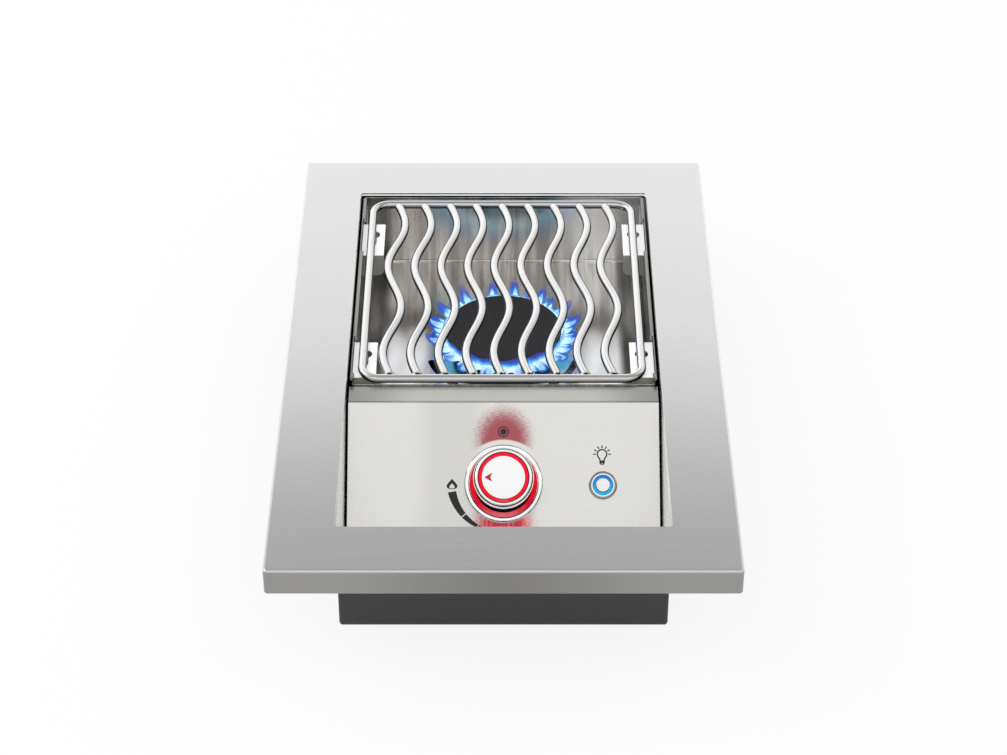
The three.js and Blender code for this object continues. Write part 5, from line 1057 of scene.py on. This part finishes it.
def by_axis(spot):
    """Distance from the knob's axis and height above the slope, in millimetres."""
    seen = ON_KNOB.inverted() @ spot
    return seen.xy.length, seen.z


# Painted shade: a grey line in the bezel's outer groove.
paint(bezel, chrome_painted_shade, lambda spot, way: 30.85 < by_axis(spot)[0] < 31.4 and by_axis(spot)[1] < 5)
glow = [(18.3, 3.5), (27.0, 3.5), (27.1, 3.6), (27.1, 4.2), (27.0, 4.3), (23.4, 4.3), (18.4, 4.3), (18.3, 4.2)]
bezel_glow = piece("bezel_lit_ring", turned(glow, 128), red_light, place=ON_KNOB)
# Painted shadow: the inner part of the lit ring, under the knob, is black.
paint(bezel_glow, painted_shade_black, lambda spot, way: by_axis(spot)[0] < 23.3)
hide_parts("bezel_light_ring")

knob_outline = [(0, 30.4), (21.2, 30.4), (21.9, 9.4), (22.0, 9.2), (23.4, 9.2), (23.6, 9.5), (23.6, 25.9),
                (23.5, 26.1), (23.5, 26.5), (23.9, 26.7), (24.0, 27.1), (23.9, 32.3), (23.75, 32.7), (23.35, 32.7),
                (23.25, 32.1), (22.7, 32.1)]
quarter = [math.pi / 2 * k / 6 for k in range(7)]
knob_outline += [(21.4 + 1.2 * math.cos(a), 33.6 + 1.2 * math.sin(a)) for a in quarter]
knob_outline += [(20.45, 34.8), (20.3, 34.6), (20.3, 32.4), (0, 32.4)]
knob = piece("chromed_knob", turned(knob_outline, 160), chrome, place=ON_KNOB, body="knob",
             crisp=28)


def in_shade(spot, way):
    """The knob's inside, the floor of its face and the groove in its rim, where black is painted as shade."""
    radius, height = by_axis(spot)
    return height < 26.3 or (height > 32.2 and radius < 20.4) or (22.55 < radius < 23.4 and height > 31)


# Painted shade: the knob's lower side, the floor of its face and its rim groove are black.
paint(knob, painted_shade_black, in_shade)
hub_outline = softened([(4.3, 9.2), (7.5, 9.2), (7.5, 30.6), (4.3, 30.6)], 0.3, 2)
piece("knob_hub", turned(hub_outline, 48), black_plastic, place=ON_KNOB, body="knob")
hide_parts("control_knob")
face_glow = softened([(17.5, 32.7), (19.7, 32.7), (19.7, 34.7), (17.5, 34.7)], 0.35, 3)
knob_glow = piece("knob_lit_ring", turned(face_glow, 128), red_light, place=ON_KNOB, body="knob")
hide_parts("knob_light_ring")
disc = [(0, 32.7), (17.0, 32.7), (17.2, 32.9), (17.2, 34.5), (16.9, 34.8)]
disc += [(16.9 * (1 - k / 10), 34.8 + 0.55 * (1 - (1 - k / 10) ** 2)) for k in range(1, 11)]
face = piece("satin_face_disc", turned(disc, 128), satin_disc, place=ON_KNOB, body="knob")
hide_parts("knob_face")
print("knob stands", 34.8, "mm above the slope, bezel 62 mm across")

# %% [markdown]
# ## Return spring
# Inside the valve a coil spring pushes the knob back out. A helix is one turned route for a bar. When the knob
# goes in by three millimetres the real coil gets shorter, towards the end that stands on the valve's floor. Here
# the spring is wound at its rest length and gets a mesh of its own.

# %% Wind the return spring
COIL, WIRE, TURNS, COIL_FOOT, COIL_HEAD = 5.3, 0.6, 4.5, -14.1, -5.3
STEPS_A_TURN = 24
helix = []
for k in range(round(TURNS * STEPS_A_TURN) + 1):
    a = 2 * math.pi * k / STEPS_A_TURN
    rise = COIL_FOOT + (COIL_HEAD - COIL_FOOT) * k / (TURNS * STEPS_A_TURN)
    helix.append((COIL * math.cos(a), COIL * math.sin(a), rise))
spring = piece("wound_return_spring", bar(helix, WIRE, 12), spring_wire, place=ON_KNOB)
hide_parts("valve_return_spring")
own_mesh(spring)
print("spring", round(COIL_HEAD - COIL_FOOT + 2 * WIRE, 2), "mm long at rest")

# %% [markdown]
# ## Push button
# The light switch is a small anti vandal button: a bright flange, a blue lit ring and a satin plunger
# that goes in by two millimetres. Only the plunger moves.

# %% Turn the button
flange_outline = softened([(0, -20), (7.8, -20), (8, -19.8), (8, 0.3), (11.25, 0.3), (11.25, 2.2), (10.7, 2.7),
                           (9.1, 2.9), (8.3, 2.9), (8.3, 1.2), (5.7, 1.2), (5.7, -6.8), (0, -6.8)],
                          0.2, 3, closed=False)
button = piece("bright_button_flange", turned(flange_outline, 96), chrome, place=ON_BUTTON)


def on_flange(spot, way):
    seen = ON_BUTTON.inverted() @ spot
    return 9.3 < seen.xy.length < 11.3 and seen.z > 1.7


# Painted shade: a grey band on the flange's sloped top.
paint(button, chrome_painted_shade, on_flange)
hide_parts("button_housing")
halo = softened([(5.85, 1.5), (8.1, 1.5), (8.1, 2.9), (5.85, 2.9)], 0.3, 3)
button_glow = piece("button_lit_ring", turned(halo, 96), blue_light, place=ON_BUTTON)
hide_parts("button_light_ring")
plunger = softened([(0, -4.5), (5.4, -4.5), (5.4, 3.5), (0, 3.5)], 0.4, 3, closed=False)
button_cap = piece("satin_plunger", turned(plunger, 96), bright_steel, place=ON_BUTTON, body="button")
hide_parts("button_plunger")
print("button flange", 22.5, "mm across")

# %% [markdown]
# ## Printed marks
# The marks tell what the knob and the button do: a ring and dot for off, a flame beside the widest part
# of a tapering arc, and a bulb above the light switch. They are pad printed ink. Each is a closed pad
# a twentieth of a millimetre high that sits in the slope's face. Lines are bars with a flat section.

# %% Off mark, dial arc, flame and bulb
INK_LOW, INK_HIGH = -0.03, 0.05


def ring_pad(outer, inner, sides=64):
    return turned([(inner, INK_LOW), (outer, INK_LOW), (outer, INK_HIGH), (inner, INK_HIGH)], sides)


def drawn(route, width=1.1, sides=8):
    """A printed line through some points of the slope."""
    return bar([(x, y, 0.01) for x, y in route], width / 2, sides, flat=0.2)


dot = loft([round_ring(2.65, INK_LOW, 48), round_ring(2.65, INK_HIGH, 48)])
piece("off_mark", together(ring_pad(4.5, 3.6), dot), ink, place=ON_PANEL @ Matrix.Translation((0, -24.2, 0)))

dial = []
dial_steps = ((188.4, 217.8, 44.9, 42.7), (219, 238.2, 42.6, 40.9), (239.4, 264, 40.8, 39.0))
for start, end, wide, narrow in dial_steps:
    steps = 14
    outer_side, inner_side = [], []
    for k in range(steps + 1):
        a, far = math.radians(start + (end - start) * k / steps), wide + (narrow - wide) * k / steps
        outer_side.append((far * math.cos(a), far * math.sin(a)))
        inner_side.append((38.1 * math.cos(a), 38.1 * math.sin(a)))
    dial.append(pulled(outer_side + inner_side[::-1], INK_LOW, INK_HIGH, "z"))
piece("dial_arc", together(*dial), ink, place=ON_KNOB)


def teardrop(width, height, steps=40):
    turns = [2 * math.pi * k / steps for k in range(steps)]
    return [(width * math.sin(t) * math.sin(t / 2) ** 1.7, height / 2 * math.cos(t)) for t in turns]


outside = teardrop(6.4, 8.6)
core = [(x * 0.5, y * 0.5 - 1.6) for x, y in outside]
flame_pad = loft([[(x, y, z) for x, y in line] for line, z in (
    (outside, INK_LOW), (outside, INK_HIGH), (core, INK_HIGH), (core, INK_LOW))], joined=True)
piece("flame_mark", flame_pad, ink, place=ON_PANEL @ Matrix.Translation((-41.1, -66.4, 0)))

turns = [math.radians(-42 + 264 * k / 30) for k in range(31)]
glass = [(3.75 * math.cos(a), 1.2 + 3.75 * math.sin(a)) for a in turns]
glass = [(1.6, -4.2), (1.8, -3.0)] + glass + [(-1.8, -3.0), (-1.6, -4.2)]
socket = [(1.6, -4.2), (1.6, -6.2), (0.9, -6.9), (-0.9, -6.9), (-1.6, -6.2), (-1.6, -4.2)]
bulb_lines = [drawn(glass), drawn(socket)] + [drawn([(-1.6, y), (1.6, y)]) for y in (-4.4, -5.5)]
for k in range(7):
    way = Vector((math.cos(math.radians(30 * k)), math.sin(math.radians(30 * k))))
    bulb_lines.append(drawn([tuple(Vector((0, 1.2)) + way * reach) for reach in (4.9, 7.2)], 1.0))
piece("bulb_mark", together(*bulb_lines), ink, place=ON_PANEL @ Matrix.Translation((78.8, -43.6, 0)))

arrow = softened([(-15.1, 0), (-8.9, 3.7), (-10.3, 0), (-8.9, -3.7)], 0.7, 4)
lift = [(x, y, z) for z in (34.9, 35.32) for x, y in arrow]
count = len(arrow)
pointer_shape = loft([lift[:count], lift[count:]])
piece("red_pointer", pointer_shape, red_ink, place=ON_KNOB, body="knob")
print("marks:", len(dial), "dial steps, bulb of", len(bulb_lines), "lines")

# %% [markdown]
# ## Gas flames
# Gas burns blue. Each port throws a small cone, pale cyan near the port where the mixture burns first,
# then deep blue, then a thin violet at the tip. Each flame is a closed tongue that grows, curls upward
# and closes to a point, and a crown of flame joins them round the burner. The material lights
# itself and grows clear toward the tips, by distance from the burner's axis and by height.

# %% Flame materials
def burning(name, hues, strength, covers, outward):
    """A clear glowing material whose colour and cover change with height and distance from the axis."""
    material, tree = new_material(name)
    place = add(tree, "ShaderNodeTexCoord").outputs["Object"]
    centred = add(tree, "ShaderNodeMapping", {
        "Vector": place, "Location": (0, -BURNER_Y * MM, 0), "Scale": (1, 1, 0)}).outputs[0]
    radius = add(tree, "ShaderNodeVectorMath", {0: centred}, operation="LENGTH").outputs["Value"]
    height = add(tree, "ShaderNodeSeparateXYZ", {0: place}).outputs["Z"]
    out = add(tree, "ShaderNodeMapRange", {
        "Value": radius, "From Min": 44 * MM, "From Max": 62 * MM, "To Max": outward}).outputs[0]
    up = add(tree, "ShaderNodeMapRange", {
        "Value": height, "From Min": 45.5 * MM, "From Max": 64 * MM, "To Max": 1 - outward}).outputs[0]
    along = add(tree, "ShaderNodeMath", {0: out, 1: up}, operation="ADD").outputs[0]
    flicker = add(tree, "ShaderNodeTexNoise", {
        "Vector": place, "Scale": 1 / (5 * MM), "Detail": 2}).outputs["Fac"]
    uneven = add(tree, "ShaderNodeMath", {0: flicker, 1: 0.3}, operation="MULTIPLY").outputs[0]
    along = add(tree, "ShaderNodeMath", {0: along, 1: uneven}, operation="ADD").outputs[0]
    skin = add(tree, "ShaderNodeBsdfPrincipled", {
        "Base Color": (0, 0, 0, 1), "Roughness": 1, "Specular IOR Level": 0, "Emission Strength": strength,
        "Emission Color": shades(tree, along, hues), "Alpha": shades(tree, along, covers)})
    shown(tree, skin)
    return material


outer_flame = burning("outer_gas_flame", [
    (0.26, "#D8F6FF"), (0.44, "#8AD8FF"), (0.6, "#44A2F4"), (0.8, "#2C62D6"), (1.0, "#4A46AE")],
    1.0, [(0.28, 0.15), (0.44, 0.22), (0.6, 0.42), (0.8, 0.64), (0.94, 0.5), (1.0, 0.1)], 0.55)
inner_flame = burning("inner_flame_cone", [
    (0.2, "#8CE6FF"), (0.35, "#DCFAFF"), (0.7, "#D0F6FF"), (1.0, "#58CCFF")],
    1.6, [(0.1, 0.95), (0.65, 0.95), (0.85, 0.7), (1.0, 0.15)], 0.6)
crown_flame = burning("flame_crown", [
    (0.25, "#F0FCFF"), (0.46, "#C4F0FF"), (0.56, "#58B4F8"), (0.68, "#3560CC"), (0.82, "#46409C")],
    1.15, [(0.25, 0.92), (0.5, 0.8), (0.7, 0.7), (0.84, 0.5), (0.96, 0.0)], 0.0)
print("flame colours run from the port outward")

# %% [markdown]
# A large tongue stands at each port and two small ones between. Their length and lean vary a little by
# sines of their number, because no two flames match and a fixed sum gives the same ones each run. A wavy
# crown of flame joins them, taller at the front.

# %% The tongues, their cones and the crown
TONGUE = [(43.2, 46.6, 1.2), (46.5, 46.5, 2.8), (50, 46.9, 4.0), (54, 48.0, 4.6), (57.5, 49.8, 4.4),
          (60.4, 52.3, 3.8), (62.6, 55.4, 3.0), (64.0, 58.4, 1.9), (64.7, 60.8, 0.2)]
CONE = [(43.4, 46.7, 1.0), (46.5, 46.6, 2.0), (50, 46.9, 2.7), (54, 47.9, 2.6), (57.5, 49.5, 2.0),
        (60.4, 51.8, 1.2), (62.0, 54.6, 0.2)]


def finer(line, parts=3):
    """The same line with more points, on a smooth curve through them."""
    fine = []
    for i in range(len(line) - 1):
        p0, p1, p2, p3 = (Vector(line[min(max(i + d, 0), len(line) - 1)]) for d in (-1, 0, 1, 2))
        for k in range(parts):
            t = k / parts
            fine.append(tuple(0.5 * (2 * p1 + (p2 - p0) * t + (2 * p0 - 5 * p1 + 4 * p2 - p3) * t ** 2
                                     + (3 * p1 - p0 - 3 * p2 + p3) * t ** 3)))
    return fine + [line[-1]]


def tongue(line, angle, stretch, lean, rise, girth=1.0, sides=18):
    """One flame from its (radius, height, thickness) line, at an angle round the burner."""
    route, radii = [], []
    first = line[0]
    for r, z, thick in finer(line):
        far, tall = first[0] + (r - first[0]) * stretch, first[1] + (z - first[1]) * stretch * rise
        thick *= girth
        a = angle + lean * (r - first[0]) / 18
        route.append((far * math.cos(a), BURNER_Y + far * math.sin(a), tall))
        radii.append(max(thick, 0.15))
    return bar(route, radii, sides)


tongues, cones = [], []
for i in range(3 * PORTS):
    angle = math.pi * (2 * i + 3) / (3 * PORTS)
    between = 1 if i % 3 else 0
    to_back = 0.5 + 0.5 * math.sin(angle)
    stretch = 0.98 + 0.05 * math.sin(2.07 * i + 1) + 0.04 * math.sin(5.13 * i) + 0.14 * abs(math.cos(angle))
    stretch -= between * (0.08 + 0.32 * to_back)
    lean = math.radians(3 * math.sin(3.53 * i + 0.6))
    rise = 0.42 + 0.58 * to_back
    tongues.append(tongue(TONGUE, angle, stretch, lean, rise, 0.96 - 0.3 * between, 16))
    core_stretch = stretch * (1.06 - 0.14 * to_back)
    cones.append(tongue(CONE, angle, core_stretch, lean * 0.6, rise, 1.1 - 0.3 * between, 12))
flames = piece("gas_flames", together(*tongues), outer_flame, crisp=180)
cores = piece("flame_cones", together(*cones), inner_flame, crisp=180)

crown_rings = []
CROWN = [(44.3, 44.6), (48, 44.4), (51.5, 45.2), (53.2, 47), (53.4, 49.4), (52.6, 51.8), (51.6, 53.8),
         (51.2, 52.4), (51.2, 50.2), (50.8, 48.4), (48, 46.9)]
for k in range(192):
    a = 2 * math.pi * k / 192
    to_eye = 0.5 - 0.5 * math.sin(a)
    swell = 1 + 0.16 * math.cos(PORTS * (a - math.pi / PORTS)) + 0.06 * math.sin(5 * a) + 0.9 * to_eye - 0.3
    crown_rings.append([(r * math.cos(a), BURNER_Y + r * math.sin(a), 46 + (z - 46) * swell) for r, z in CROWN])
piece("flame_crown", loft(crown_rings, joined=True), crown_flame, crisp=180)
print(len(tongues), "flames,", len(flames.data.polygons) + len(cores.data.polygons), "faces")

# %% [markdown]
# ## Finishes for the CAD's own parts
# The nuts, brackets, tubes and boxes under the pan have the right shape in the CAD already, so they stay.
# Each only gets the finish of what it is made of, put in its material slots.

# %% Dress the remaining CAD parts
dressed = {
    bright_steel: [f"frame_nut_{i}" for i in range(1, 7)] + [
        "pan_rail_left", "pan_rail_right", "burner_screw_left", "burner_screw_right", "orifice_bracket",
        "valve_screw_left", "valve_screw_right", "igniter_pin", "electrode_clip", "button_nut", "air_shutter",
        "thrust_washer"],
    brass: ["orifice_jet", "valve_stem", "gas_inlet_fitting", "inlet_locknut"],
    casting: ["gas_valve"],
    tube_metal: ["mixer_tube", "gas_feed_tube", "supply_tube"],
    black_plastic: ["ignition_switch", "spark_module", "battery_holder"],
    ceramic: ["igniter_insulator"],
    rubber: ["electrode_lead", "light_lead"],
    battery_wrap: ["battery"],
}
for finish, names in dressed.items():
    for name in names:
        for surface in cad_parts[name].material_slots:
            surface.material = finish
print(sum(len(names) for names in dressed.values()), "CAD parts dressed")

# %% [markdown]
# ## Flat faces stay flat
# Smooth shading blends the normals of a flat sheet with those of its folds, so a wide face would shade
# as if it were dished. The weighted normal modifier lets the large faces lead at each shared corner.

# %% Weight the normals by face area
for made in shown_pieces():
    if made.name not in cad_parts:
        lead = made.modifiers.new("flat_faces_lead", "WEIGHTED_NORMAL")
        lead.keep_sharp = True
